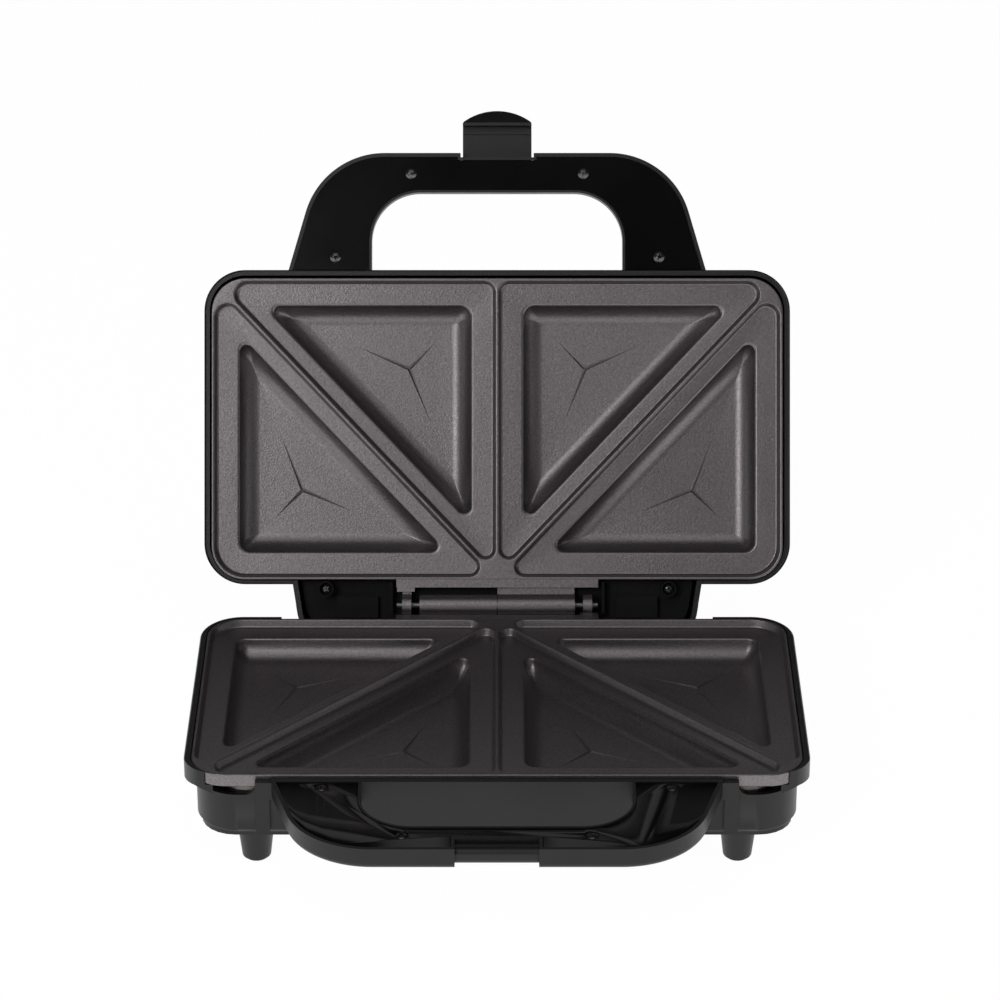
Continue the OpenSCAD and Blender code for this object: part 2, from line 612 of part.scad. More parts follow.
// Lugs that carry a plate's bosses, with the heat shield between: two at the sides, one in front, one behind
lug_half = boss_r + 1.6;
module lugs(side_x, front, rear) {
    low = -lug_z - lug_t;
    both_sides() {
        at = on_plate(corner_boss);
        block([at[0] - lug_half, side_x], [at[1] - lug_half, at[1] + lug_half], [low, -lug_z]);
    }
    block([-lug_half, lug_half], [front, rear_y - middle_bosses[1] + lug_half], [low, -lug_z]);
    block([-lug_half, lug_half], [rear_y - middle_bosses[0] - lug_half, rear], [low, -lug_z]);
}
gland_x = -78;
gland_z = -20;
gland_r = 5;
gland_hole = 3.4;
gland_flange = [1.8, 1.6]; // [reach beyond the hole, thickness]
module cord_gland() on_base() color(rubber)
    translate([gland_x, tub_rear - wall / 2, gland_z]) rotate([90, 0, 0]) difference() {
        union() {
            cylinder(r = gland_r, h = wall + gland_flange[1] / 2, center = true);
            for (side = [-1, 1]) translate([0, 0, side * (wall / 2 + gland_flange[1] / 2 + 0.2)])
                cylinder(r = gland_r + gland_flange[0], h = gland_flange[1], center = true);
        }
        cylinder(r = gland_hole, h = far, center = true);
    }

base_outline = rounded_in(tub_box, tub_radii, base_in);
tub_d = tub_rear - tub_front;
slot_w = 4;
slot_l = 24;
slot_pitch = 12;
slot_count = 4;         // slots to each side of the middle one
slot_row = 0.21;        // a row's distance from the middle, as a share of the depth
module base_cover() on_base() color(black_plastic) difference() {
    union() {
        slab(base_outline, -base_z, -tub_h);
        slab(rounded_in(tub_box, tub_radii, wall + part_gap), -tub_h - skin, -tub_h + 1.6);
    }
    slab(rounded_in(tub_box, tub_radii, wall + 2), -tub_h, -tub_h + 3);
    for (p = base_posts) {
        bore(p, post_r + part_gap, -tub_h, -tub_h + 3);
        bore(p, plate_screw[0] + part_gap, -base_z - 1, -tub_h + 1);
        bore(p, plate_screw[1] + part_gap, -base_z - 1, -base_z + 1);
        post_web(p, far, part_gap, -tub_h, -tub_h + 3);
    }
    // Cooling slots between the feet, in two rows
    for (row = [-1, 1], k = [-slot_count : slot_count]) {
        at = [k * slot_pitch, (tub_front + shell_rear) / 2 + row * tub_d * slot_row];
        block([at[0] - slot_w / 2, at[0] + slot_w / 2], [at[1] - slot_l / 2, at[1] + slot_l / 2],
            [-base_z - 1, -tub_h + 1]);
    }
}
module base_screws() on_base() color(steel) for (p = base_posts)
    translate([p[0], p[1], -base_z + 1]) mirror([0, 0, 1]) screw(plate_screw, base_screw_l);

pad_t = 2;
pad_sink = 1;
module feet() on_base() color(black_plastic) for (p = feet_at) translate([p[0], p[1], -floor_z]) difference() {
    translate([0, 0, pad_t - pad_sink])
        cylinder(r1 = foot_low_d / 2, r2 = foot_top_d / 2, h = foot_h - pad_t + pad_sink);
    translate([0, 0, -1]) cylinder(r = foot_low_d / 2 - 1.2 + run_gap, h = pad_t + 1);
}
module foot_pads() on_base() color(rubber) for (p = feet_at) translate([p[0], p[1], -floor_z])
    cylinder(r = foot_low_d / 2 - 1.2, h = pad_t);

pole_pitch = 10;
pole_w = 8;
pole_h = 7.6;
strip = [34, 16, 4];
module terminal_block() on_base() color("ivory")
    translate([0, front_y + plate_d * 0.62, -tub_h]) difference() {
        union() {
            block([-strip[0] / 2, strip[0] / 2], [-strip[1] / 2, strip[1] / 2], [0, strip[2]]);
            for (k = [-1 : 1]) block([k * pole_pitch - pole_w / 2, k * pole_pitch + pole_w / 2],
                [1 - strip[1] / 2, strip[1] / 2 - 1], [strip[2] - skin, pole_h]);
        }
        for (k = [-1 : 1]) translate([k * pole_pitch, 0, 0]) {
            for (side = [-1, 1]) translate([0, side * strip[1] * 0.225, strip[2]]) cylinder(r = 1.7, h = pole_h);
            translate([0, 0, strip[2] * 0.6]) rotate([90, 0, 0]) cylinder(r = 1.3, h = far, center = true);
        }
    }

module hinge_pin() on_base() color(steel) {
    half = ear_x + ear_t + 2.6;
    x_rod(0, 0, hinge_pin_d / 2, -half, half);
}

// ---- Lid ----
lid_wall_z = 24;
lid_run = 19;
lid_draft = 1.2;
hump_taper = 6.4;
hump_box = [[-hump_half, rear_y - 14], [hump_half, rear_y - 14],
    [hump_half - hump_taper, hump_reach], [-hump_half + hump_taper, hump_reach]];
hump_radii = [0, 0, 12, 12];
hump_run = 13;
hump_low = -face_z + 0.2;
hump_wall_z = 12;
function lid_rings(gap) = let (edge = cove(lid_h - lid_wall_z, lid_run)) concat(
    [[face_z, rounded_in(shell_box, shell_radii, gap)]],
    [for (e = edge) [lid_wall_z + e[0] - gap * e[0] / (lid_h - lid_wall_z),
        rounded_in(shell_box, shell_radii, lid_draft + gap + e[1])]]);
function hump_rings(gap) = let (edge = cove(hump_h - hump_wall_z, hump_run)) concat(
    [[hump_low, rounded_in(hump_box, hump_radii, gap)]],
    [for (e = edge) [hump_wall_z + e[0] - gap * e[0] / (hump_h - hump_wall_z),
        rounded_in(hump_box, hump_radii, gap + e[1])]]);
panel_in = 30;
panel_t = 2.2;
panel_drop = 0.6;
panel_rest = 5;
lens_x = 14;
lens_y = shell_front + panel_in + 13;
lens_r = 3;
module lid_shell() difference() {
    union() {
        loft(lid_rings(0));
        loft(hump_rings(0));
    }
    difference() {
        union() {
            translate([0, 0, -skin]) loft(lid_rings(wall));
            slab(rounded_in(shell_box, shell_radii, wall), -1, face_z + 1);
        }
        // The hump's own front wall stops short of the plate
        block([-far, far], [shell_rear - 1, far], [-far, far]);
    }
    difference() {
        translate([0, 0, -skin]) loft(hump_rings(wall));
        block([-far, far], [-far, rear_y - 12], [-far, far]);
    }
    block([-hump_half + wall, hump_half - wall], [rear_y - 12, 0], [-far, 1]);
    slab(plate_seat, -1, ledge_z);
    // Rest for the lid panel, with a service opening under it
    slab(rounded_in(shell_box, shell_radii, panel_in), lid_h - panel_t - panel_drop, lid_h + 1);
    slab(rounded_in(shell_box, shell_radii, panel_in + panel_rest), lid_wall_z, lid_h + 1);
}
module upper_housing() on_lid() color(black_plastic) difference() {
    union() {
        lid_shell();
        difference() {
            union() {
                handle_body(shell_front + 2, 0);
                block([-notch_w / 2 - notch_lip, notch_w / 2 + notch_lip],
                    [handle_front + notch_open / 2, handle_front + notch_open + notch_lip], [handle_gap, cover_high]);
            }
            block([-notch_w / 2, notch_w / 2], [-far, handle_front + notch_d], [cover_high - 1, far]);
            block([-notch_w / 2, notch_w / 2], [-far, handle_front + notch_open], [-far, far]);
        }
        notch_walls(notch_w / 2, pin_cheek, cover_high);
        turned_over() lugs(shell_w / 2 - wall - 0.6, shell_front + wall + 0.6, hump_reach - wall - 1.2);
        both_sides() bore(cover_boss, boss_r, hinge_cover_z + hinge_cover_t, hump_h - wall / 2);
    }
    for (p = plate_bosses) bore(on_plate(p), plate_screw[0] + run_gap, lug_z - 1, lug_z + lug_t + 1);
    both_sides() bore(cover_boss, cover_screw[0] + run_gap, hinge_cover_z, hinge_cover_z + 9);
    x_rod(latch_pivot[0], latch_pivot[1], latch_pin_d / 2 + skin, -far, far);
}
module lid_panel() on_lid() color(gloss_black) difference() {
    slab(rounded_in(shell_box, shell_radii, panel_in + part_gap),
        lid_h - panel_t - panel_drop, lid_h - panel_drop);
    both_sides() bore([lens_x, lens_y], lens_r + part_gap / 3, 0, far);
}
lens_foot = 1.5;
module lens() translate([0, 0, lid_h - panel_t - panel_drop - lens_foot]) {
    cylinder(r = lens_r, h = panel_t + lens_foot);
    translate([0, 0, panel_t + lens_foot]) cylinder(r1 = lens_r, r2 = lens_r - 0.8, h = 0.5);
    cylinder(r = lens_r + 1, h = lens_foot - 0.1);
}
module power_lens() on_lid() color("red") translate([-lens_x, lens_y, 0]) lens();
module ready_lens() on_lid() color("green") translate([lens_x, lens_y, 0]) lens();
lamp = [2, 8];          // [radius, length below its round end]
module indicator_lamps() on_lid() color("orange") both_sides()
    translate([lens_x, lens_y, lid_h - panel_t - panel_drop - lens_foot - lamp[0] - lamp[1] - part_gap]) {
        cylinder(r = lamp[0], h = lamp[1]);
        translate([0, 0, lamp[1]]) sphere(r = lamp[0]);
    }

// Inner cover over the wiring, behind the hinge
cover_boss = [79.1, rear_y + 4.2];
hinge_cover_z = 8;
hinge_cover_t = 1.6;
hinge_cover_in = wall + 1.5;
rib_x = flange_half + 1.6;
rib_t = 1.4;
pad = [[cover_boss[0] - 24, cover_boss[0] - 5], [-4, 6], 4];
module hinge_cover() on_lid() color(black_plastic) difference() {
    union() {
        slab(rounded(moved_in(hump_box, [14.4, hinge_cover_in, wall + part_gap, hinge_cover_in]), hump_radii),
            hinge_cover_z, hinge_cover_z + hinge_cover_t);
        both_sides() {
            bore(cover_boss, boss_r, -0.5, hinge_cover_z + skin);
            block([rib_x, rib_x + rib_t], [shell_rear - 1, 4], [1.4, hinge_cover_z + skin]);
            block(pad[0], pad[1], [pad[2], hinge_cover_z + skin]);
        }
    }
    both_sides() {
        bore(cover_boss, cover_screw[0] + part_gap, -1, far);
        bore(cover_boss, cover_screw[1] + part_gap, -1, 4);
    }
}
module hinge_cover_screws() on_lid() color(steel) both_sides()
    translate([cover_boss[0], cover_boss[1], 4]) mirror([0, 0, 1]) screw(cover_screw, hinge_screw_l);

module latch_pin() on_lid() color(steel)
    x_rod(latch_pivot[0], latch_pivot[1], latch_pin_d / 2, -notch_w / 2 - 2.6, notch_w / 2 + 2.6);

// Latch, drawn hooked under the catch bar, then swung up clear of the handles
hook_end = 1.4;         // height of the hook's end face
hook_y = latch_pivot[0] - 0.7;
slot_h = 2.4;           // slot above the hook, where the bar's lower edge lies
slot_d = 1.4;
bead_h = 1.2;           // bead between that slot and the thin one above it
thin_slot = [0.7, 0.8]; // [height, depth]
arch_r = 25;
arch_lean = 36;
arch_corner = 2;
module latch() on_lid() translate([0, latch_pivot[0], latch_pivot[1]]) rotate([-90, 0, 0])
    translate([0, -latch_pivot[0], -latch_pivot[1]]) color(black_plastic) difference() {
    half = latch_w / 2;
    tip = handle_top - handle_t / 2 - latch_reach - (latch_pivot[0] - handle_front);
    high = latch_pivot[1] + latch_hub_r - 0.4;
    outer = latch_front - latch_t;
    hook_top = -bar_low - part_gap;
    bead_top = hook_top + slot_h + bead_h;
    apex = tip - arch_r * (1 / cos(arch_lean) - 1);
    union() {
        x_rod(latch_pivot[0], latch_pivot[1], latch_hub_r, -half, half);
        intersection() {
            x_profile([[outer, high], [outer, tip], [latch_front, tip],
                [hook_y, hook_top - hook_end], [hook_y, hook_top],
                [latch_front - slot_d, hook_top], [latch_front - slot_d, hook_top + slot_h],
                [latch_front, hook_top + slot_h], [latch_front, bead_top],
                [latch_front - thin_slot[1], bead_top], [latch_front - thin_slot[1], bead_top + thin_slot[0]],
                [latch_front, bead_top + thin_slot[0]], [latch_front, latch_pivot[1] - 1.6],
                [latch_pivot[0], latch_pivot[1] - 1.6], [latch_pivot[0], high]], half);
            y_profile(rounded([[half, high], [-half, high], [-half, apex + half * tan(arch_lean)], [0, apex],
                [half, apex + half * tan(arch_lean)]], [0, 0, arch_corner, arch_r, arch_corner]),
                outer - 1, latch_pivot[0] + 1);
        }
    }
    x_rod(latch_pivot[0], latch_pivot[1], latch_pin_d / 2 + run_gap, -far, far);
}

lower_housing();
base_cover();
feet();
foot_pads();
base_screws();
lower_plate();
lower_plate_screws();
lower_element();
lower_heat_shield();
thermostat();
thermal_fuse();
terminal_block();
cord_gland();
lower_handle_cover();
lower_handle_screws();
hinge_pin();
upper_housing();
lid_panel();
upper_plate();
upper_plate_screws();
upper_element();
upper_heat_shield();
upper_handle_cover();
upper_handle_screws();
hinge_cover();
hinge_cover_screws();
latch_pin();
power_lens();
ready_lens();
indicator_lamps();
latch();
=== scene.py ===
import json
import math

import bmesh
import bpy
from mathutils import Matrix, Vector


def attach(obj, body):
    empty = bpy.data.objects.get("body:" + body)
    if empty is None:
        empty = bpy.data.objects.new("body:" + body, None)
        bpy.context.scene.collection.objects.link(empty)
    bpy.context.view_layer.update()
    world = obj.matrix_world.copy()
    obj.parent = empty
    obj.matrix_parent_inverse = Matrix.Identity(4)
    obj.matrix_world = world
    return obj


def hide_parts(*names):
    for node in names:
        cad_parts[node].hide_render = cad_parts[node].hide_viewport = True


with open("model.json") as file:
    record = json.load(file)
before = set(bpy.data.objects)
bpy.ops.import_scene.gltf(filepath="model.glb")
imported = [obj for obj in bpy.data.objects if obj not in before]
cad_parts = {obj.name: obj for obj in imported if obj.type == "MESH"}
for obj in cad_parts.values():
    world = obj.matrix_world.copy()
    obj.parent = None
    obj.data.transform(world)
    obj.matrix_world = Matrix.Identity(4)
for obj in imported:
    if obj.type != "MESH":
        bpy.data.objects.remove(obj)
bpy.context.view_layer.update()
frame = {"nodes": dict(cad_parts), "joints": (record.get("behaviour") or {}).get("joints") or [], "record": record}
mm = 0.001
turn = math.radians

# Everything is drawn in millimetres about the hinge axis, with the lid closed:
# x to the right, the handles towards -y, the parting line at z = 0.
hinge = Vector(next(j for j in frame["joints"] if j["name"] == "lid_hinge")["pos_m"])
lidOpen = 117  # how far the lid stands open, as in the part

onBase = Matrix.Translation(hinge) @ Matrix.Scale(mm, 4)
onLid = Matrix.Translation(hinge) @ Matrix.Rotation(turn(-lidOpen), 4, "X") @ Matrix.Scale(mm, 4)
turnedOver = Matrix.Rotation(math.pi, 4, "Y")  # a piece drawn for the base, turned over for the lid
upsideDown = Matrix.Scale(-1, 4, (0, 0, 1))  # a handle drawn for the lid, mirrored for the base

plate = {
    "width": 264, "depth": 139.5, "corner": 15.7, "side": 6, "gap": 1.2,
    "rim": 1.5, "ridge": 1.6, "landDepth": 3.5, "landRun": 1.1,
    "border": 10.4, "longBorder": 6.9, "pocketDepth": 9.5, "pocketRun": 8.8, "casting": 2.5,
    "rimRound": 0.6, "underRound": 0.4, "ridgeRound": 0.65, "landFillet": 0.9, "pocketRound": 1.3,
    "landRounds": ((3.5, 5), (5, 3.5, 4)), "pocketRadii": (3.1, 3.1, 5),
    "ridgeFlat": 0.7, "landFlat": 0.8, "landStart": 0.25, "pocketFlat": 0.75, "cornerShare": 0.6, "bulgeRun": 0.6,
    "scoreWidth": 1.75, "scoreDepth": 0.6, "scoreReach": (0.36, 0.36, 0.46),
    "scoreWaist": 0.35, "scoreNarrow": 0.7, "scoreRise": 0.35,
    "barrel": 10, "barrelLength": 35.6, "barrelGap": 0.15, "ear": 4.2, "earGap": 3.8, "setback": 11.6,
    "flange": (0.1, 4.4), "flangeReach": 3.5, "flangeEnd": 3, "web": 2.6, "pinBore": 1.65, "boreReach": 60,
    "cornerSteps": 14, "coveSteps": 10,
}
housing = {
    "sideLip": 3.2, "frontLip": 3.6, "rearLip": 2, "wall": 2.4, "lidHeight": 40, "tubHeight": 28.8,
    "lidWall": 24, "lidRun": 19, "lipRound": 0.9, "lipHigh": 1, "lidLip": 1.2, "tubRound": (1.2, 1.6),
    "tubStep": 5.2, "frontStep": 2.2, "rearStep": 0.8, "skirt": 2, "bandStep": (2.4, 1.9, 2.2),
    "bandRun": (13, 15), "bandStart": 17, "scoop": 4.5, "scoopLow": 0.9, "scoopReach": 8, "pillar": 6,
    "rootDrop": 0.6, "humpLedge": 0.4, "humpHalf": 97, "humpReach": 14, "humpIn": 14, "humpTaper": 6.4,
    "humpHeight": 33, "humpWall": 12, "humpRun": 13, "humpCorner": 12, "humpOpen": 12, "humpRoom": 2, "base": 2.2,
    "gap": 0.3, "cornerSteps": 16, "edgeSteps": 8,
}
handle = {
    "reach": 57.8, "width": 195, "lean": 16.4, "corner": 38, "gripWidth": 116, "gripReach": 39.5,
    "gripCorner": 22.5, "gap": 2, "thick": 10, "lip": 1.9, "cover": 1.8, "sink": 0.4,
    "gripLip": 1.2, "edge": 3, "lowerShift": 2.4, "cornerSteps": 26,
    "gripScrew": (18.2, 9.4), "rootScrew": (22.7, 9.8), "boss": 3.6, "pilot": 1.45, "hole": 1.7,
    "headSeat": (2.9, 0.7),
}
latch = {
    "width": 31.9, "reach": 20.4, "thick": 2.4, "pin": 2.4, "pivotBack": 5.2,
    "catch": 7.6, "catchRound": 3, "catchDrop": 1.5, "catchIn": 2, "catchRoom": 1.65, "notchDepth": 8.2,
    "notchSide": 1, "notchOpen": 2, "notchLip": 1.2, "cheek": 1.6, "pinCheek": 3, "hub": 2.5,
    "hookEnd": 1.4, "slotHigh": 2.4, "slotDeep": 1.4, "bead": 1.2, "thinSlot": (0.7, 0.8),
    "hubFlat": 0.4, "hookBack": 0.7, "web": 1.6, "pinRoom": 0.05,
    "archRadius": 25, "archLean": 36, "archCorner": 2,
}

faceZ = plate["gap"] / 2
rearY = -plate["setback"]
frontY = rearY - plate["depth"]
underZ = faceZ + plate["side"]
shellFront = frontY - housing["frontLip"]
shellRear = rearY + housing["rearLip"]
shellWidth = plate["width"] + 2 * housing["sideLip"]
shellCorner = plate["corner"] + housing["sideLip"]
handleFront = frontY - handle["reach"]
handleTop = handle["gap"] + handle["thick"]
tubFront = shellFront + housing["frontStep"]
tubRear = shellRear - housing["rearStep"]
far = 400  # past every edge of a piece


# Outlines

def along(a, b):
    return (b - a).normalized()


def leftOf(a):
    return Vector((-a.y, a.x))


def meet(p, d, q, e):
    return p + d * ((q - p).dot(leftOf(e)) / d.dot(leftOf(e)))


def movedIn(pts, gaps):
    n, moved = len(pts), []
    for i in range(n):
        a, b, c = pts[i - 1], pts[i], pts[(i + 1) % n]
        d, e = along(a, b), along(b, c)
        moved.append(meet(b + leftOf(d) * gaps[i - 1], d, b + leftOf(e) * gaps[i], e))
    return moved


def cornerArc(a, b, c, radius, steps):
    u, w = along(b, a), along(b, c)
    half = math.acos(max(-1, min(1, u.dot(w)))) / 2
    mid = b + (u + w).normalized() * radius / math.sin(half)
    start = b + u * radius / math.tan(half) - mid
    sweep = (math.pi - 2 * half) * math.copysign(1, u.y * w.x - u.x * w.y)
    return [mid + Matrix.Rotation(sweep * k / steps, 2) @ start for k in range(steps + 1)]


def rounded(pts, radii, steps):
    n, out = len(pts), []
    for i in range(n):
        out += [pts[i]] if radii[i] == 0 else cornerArc(pts[i - 1], pts[i], pts[(i + 1) % n], radii[i], steps)
    return out


def less(radii, gap):
    return [0 if r == 0 else max(r - gap, 0.4) for r in radii]


def boxOutline(half, front, rear):
    return [Vector(p) for p in ((-half, front), (half, front), (half, rear), (-half, rear))]


def roundedIn(pts, radii, gap, steps):
    return rounded(movedIn(pts, [gap] * len(pts)), less(radii, gap), steps)


def quarter(steps):
    return [(math.sin(turn(90 * k / steps)), 1 - math.cos(turn(90 * k / steps))) for k in range(steps + 1)]


# Meshes

def ring(bm, pts, z):
    return [bm.verts.new((p[0], p[1], z)) for p in pts]


def bridge(bm, a, b):
    n = len(a)
    for i in range(n):
        j = (i + 1) % n
        bm.faces.new((a[i], a[j], b[j], b[i]))


def sheetBetween(bm, loops):
    edges = []
    for loop in loops:
        for i, v in enumerate(loop):
            pair = (v, loop[(i + 1) % len(loop)])
            edges.append(bm.edges.get(pair) or bm.edges.new(pair))
    bmesh.ops.triangle_fill(bm, use_beauty=True, use_dissolve=False, edges=edges)


def newPiece(name, bm, place=Matrix()):
    bmesh.ops.recalc_face_normals(bm, faces=bm.faces)
    mesh = bpy.data.meshes.new(name)
    bm.to_mesh(mesh)
    bm.free()
    mesh.transform(place, shape_keys=False)
    if place.determinant() < 0:
        mesh.flip_normals()
    piece = bpy.data.objects.new(name, mesh)
    bpy.context.scene.collection.objects.link(piece)
    return piece


def stack(levels):
    # solid through outlines [(z, points)], heights rising
    bm = bmesh.new()
    rings = [ring(bm, pts, z) for z, pts in levels]
    for a, b in zip(rings, rings[1:]):
        bridge(bm, a, b)
    sheetBetween(bm, [rings[0]])
    sheetBetween(bm, [rings[-1]])
    return newPiece("form", bm)


def slab(pts, low, high):
    return stack([(low, pts), (high, pts)])


def block(x, y, z):
    return slab([Vector(p) for p in ((x[0], y[0]), (x[1], y[0]), (x[1], y[1]), (x[0], y[1]))], z[0], z[1])


def rod(radius, low, high, place, sides=40):
    bm = bmesh.new()
    turns = [(math.cos(2 * math.pi * k / sides), math.sin(2 * math.pi * k / sides)) for k in range(sides)]
    a, b = [ring(bm, [(x * radius, y * radius) for x, y in turns], z) for z in (low, high)]
    bridge(bm, a, b)
    bm.faces.new(a)
    bm.faces.new(b)
    return newPiece("form", bm, place)


def bore(at, radius, low, high):
    return rod(radius, low, high, Matrix.Translation((at[0], at[1], 0)))


def xRod(y, z, radius, low, high, sides=40):
    return rod(radius, low, high, Matrix.Translation((0, y, z)) @ Matrix.Rotation(math.pi / 2, 4, "Y"), sides)


def xProfile(pts, half):
    # bar of a side profile in y and z, reaching half to each side of the middle
    bar = slab([Vector(p) for p in pts], -half, half)
    bar.data.transform(Matrix(((0, 0, 1, 0), (1, 0, 0, 0), (0, 1, 0, 0), (0, 0, 0, 1))))
    return bar


def yProfile(pts, front, rear):
    # bar of a front profile in x and z
    bar = slab([Vector(p) for p in pts], -rear, -front)
    bar.data.transform(Matrix.Rotation(math.pi / 2, 4, "X"))
    return bar


def evaluated(piece):
    # the piece's mesh with its modifiers worked in
    depsgraph = bpy.context.evaluated_depsgraph_get()
    mesh = bpy.data.meshes.new_from_object(piece.evaluated_get(depsgraph))
    piece.modifiers.clear()
    old = piece.data
    piece.data = mesh
    mesh.name = piece.name
    bpy.data.meshes.remove(old)
    return piece


def combine(piece, others, how):
    for other in others:
        modifier = piece.modifiers.new(how, "BOOLEAN")
        modifier.operation = how
        modifier.solver = "MANIFOLD"
        modifier.object = other
    bpy.context.view_layer.update()
    evaluated(piece)
    for other in others:
        bpy.data.objects.remove(other)
    return piece


def joined(piece, *others):
    return combine(piece, others, "UNION")


def cut(piece, *others):
    return combine(piece, others, "DIFFERENCE")


def common(piece, *others):
    return combine(piece, others, "INTERSECT")


def bothSides(make):
    # one form for each side, from a function of the side's sign
    return [make(-1), make(1)]


def finished(piece, name, place, edge=0.4, segments=3, angle=32):
    # flat faces cleaned, edges rounded, normals weighted, then put in its place
    bm = bmesh.new()
    bm.from_mesh(piece.data)
    bmesh.ops.remove_doubles(bm, verts=bm.verts, dist=0.002)
    bmesh.ops.dissolve_limit(bm, angle_limit=turn(0.4), verts=bm.verts, edges=bm.edges)
    bm.to_mesh(piece.data)
    bm.free()
    if edge:
        bevel = piece.modifiers.new("edges", "BEVEL")
        bevel.width = edge
        bevel.segments = segments
        bevel.limit_method = "ANGLE"
        bevel.angle_limit = turn(angle)
        bevel.use_clamp_overlap = True
        bevel.harden_normals = False
        bpy.context.view_layer.update()
        evaluated(piece)
        bm = bmesh.new()
        bm.from_mesh(piece.data)
        bmesh.ops.remove_doubles(bm, verts=bm.verts, dist=0.002)
        bmesh.ops.dissolve_degenerate(bm, edges=bm.edges, dist=0.001)
        bm.to_mesh(piece.data)
        bm.free()
    smoothed(piece)
    piece.name = name
    piece.data.transform(place)
    if place.determinant() < 0:
        piece.data.flip_normals()
    return piece


def smoothed(piece, sharp=48):
    bm = bmesh.new()
    bm.from_mesh(piece.data)
    for face in bm.faces:
        face.smooth = True
    for edge in bm.edges:
        if len(edge.link_faces) == 2 and edge.calc_face_angle(0) > turn(sharp):
            edge.smooth = False
    bm.to_mesh(piece.data)
    bm.free()
    weights = piece.modifiers.new("normals", "WEIGHTED_NORMAL")
    weights.weight = 80
    weights.keep_sharp = True
    bpy.context.view_layer.update()
    return evaluated(piece)


# Cooking plates, drawn as the lower one

cellLow, cellHigh = plate["ridge"] / 2, plate["width"] / 2 - plate["rim"]
cellRear, cellFront = rearY - plate["rim"], frontY + plate["rim"]
landCorners = (  # long side first
    [Vector(p) for p in ((cellLow, cellRear), (cellHigh, cellFront), (cellHigh, cellRear))],
    [Vector(p) for p in ((cellHigh, cellFront), (cellLow, cellRear), (cellLow, cellFront))])
landRadii = ((*plate["landRounds"][0], plate["corner"] - plate["rim"] - plate["landRun"]), plate["landRounds"][1])


def landOutline(which, gap):
    return rounded(movedIn(landCorners[which], [plate["ridge"] / 2 + gap, gap, gap]),
                   less(landRadii[which], gap - plate["landRun"]), plate["cornerSteps"])


def pocketCorners(which):
    straight = plate["landRun"] + plate["border"]
    return movedIn(landCorners[which],
                   [plate["ridge"] / 2 + plate["landRun"] + plate["longBorder"], straight, straight])


def pocketOutline(which, gap):
    radii = less(plate["pocketRadii"], gap * plate["cornerShare"])
    return rounded(movedIn(pocketCorners(which), [gap] * 3), radii, plate["cornerSteps"])


def innerCentre(t):
    a, b, c = (t[1] - t[2]).length, (t[2] - t[0]).length, (t[0] - t[1]).length
    return (t[0] * a + t[1] * b + t[2] * c) / (a + b + c)


def scoredStar(bm, which, floor):
    # three tapered grooves that meet in the pocket's middle; returns their outline
    t = pocketCorners(which)
    mid = innerCentre(t)
    legs = [((t[i] - mid), plate["scoreReach"][i]) for i in range(3)]
    legs.sort(key=lambda leg: math.atan2(leg[0].y, leg[0].x))
    half, deep = plate["scoreWidth"] / 2, floor - plate["scoreDepth"]
    centre = bm.verts.new((mid.x, mid.y, deep))
    rims, mids, tips, notches = [], [], [], []
    for way, share in legs:
        u, reach = way.normalized(), way.length * share
        side = leftOf(u) * half * plate["scoreNarrow"]
        waist, tip = mid + u * reach * plate["scoreWaist"], mid + u * reach
        rims.append([bm.verts.new((*(waist + s * side), floor)) for s in (-1, 1)])
        mids.append(bm.verts.new((*waist, deep + plate["scoreDepth"] * plate["scoreRise"])))
        tips.append(bm.verts.new((*tip, floor)))
    for i in range(3):
        u, w = legs[i][0].normalized(), legs[(i + 1) % 3][0].normalized()
        spread = math.acos(u.dot(w)) / 2
        notches.append(bm.verts.new((*(mid + (u + w).normalized() * half / math.sin(spread)), floor)))
    outline = []
    for i in range(3):
        (right, left), m, tip, after, before = rims[i], mids[i], tips[i], notches[i], notches[i - 1]
        for face in ((right, tip, m), (tip, left, m), (m, left, after, centre), (before, right, m, centre)):
            for edge in bm.faces.new(face).edges:
                edge.smooth = False
        outline += [right, tip, left, after]
    return outline


def plateFace(bm, side):
    # one half's lands, walls and pockets; returns the land's and the bulge's outlines
    p, tops, bulges = plate, [], []
    steps = quarter(p["coveSteps"])
    few = quarter(3)
    mirror = lambda pts: pts if side > 0 else [Vector((-v.x, v.y)) for v in reversed(pts)]
    for which in (0, 1):
        # wall of the land, rounded above and below
        ridge, fillet, low = p["ridgeRound"], p["landFillet"], -faceZ - p["landDepth"]
        upper = [(-ridge * (1 - a), -faceZ - ridge * b * p["ridgeFlat"]) for a, b in few]
        lower = [(p["landRun"] - p["landStart"] + fillet * b, low + fillet * (1 - a) * p["landFlat"]) for a, b in few]
        land = [ring(bm, mirror(landOutline(which, gap)), z) for gap, z in upper + lower]
        r, flat = p["pocketRound"], p["pocketFlat"]
        over = [ring(bm, mirror(pocketOutline(which, -r * (1 - a))), low - r * b * flat) for a, b in few]
        drop, run = p["pocketDepth"] - r * flat, p["pocketRun"]
        wallRings = [ring(bm, mirror(pocketOutline(which, run * c)), low - r * flat - drop * s)
                     for s, c in steps[1:]]
        for a, b in zip(land, land[1:]):
            bridge(bm, a, b)
        sheetBetween(bm, [land[-1], over[0]])
        for a, b in zip(over + wallRings, (over + wallRings)[1:]):
            bridge(bm, a, b)
        star = scoredStar(bm, which, low - p["pocketDepth"])
        if side < 0:
            for v in set(star) | {w for s in star for e in s.link_edges for w in e.verts}:
                v.co.x = -v.co.x
        sheetBetween(bm, [wallRings[-1], star])
        tops.append(land[0])
        # the bulge below
        out = [ring(bm, mirror(pocketOutline(which, -p["casting"] + (run - p["bulgeRun"]) * c)),
                    low - p["casting"] - p["pocketDepth"] * s) for s, c in quarter(5)]
        for a, b in zip(out, out[1:]):
            bridge(bm, a, b)
        sheetBetween(bm, [out[-1]])
        bulges.append(out[0])
    return tops, bulges


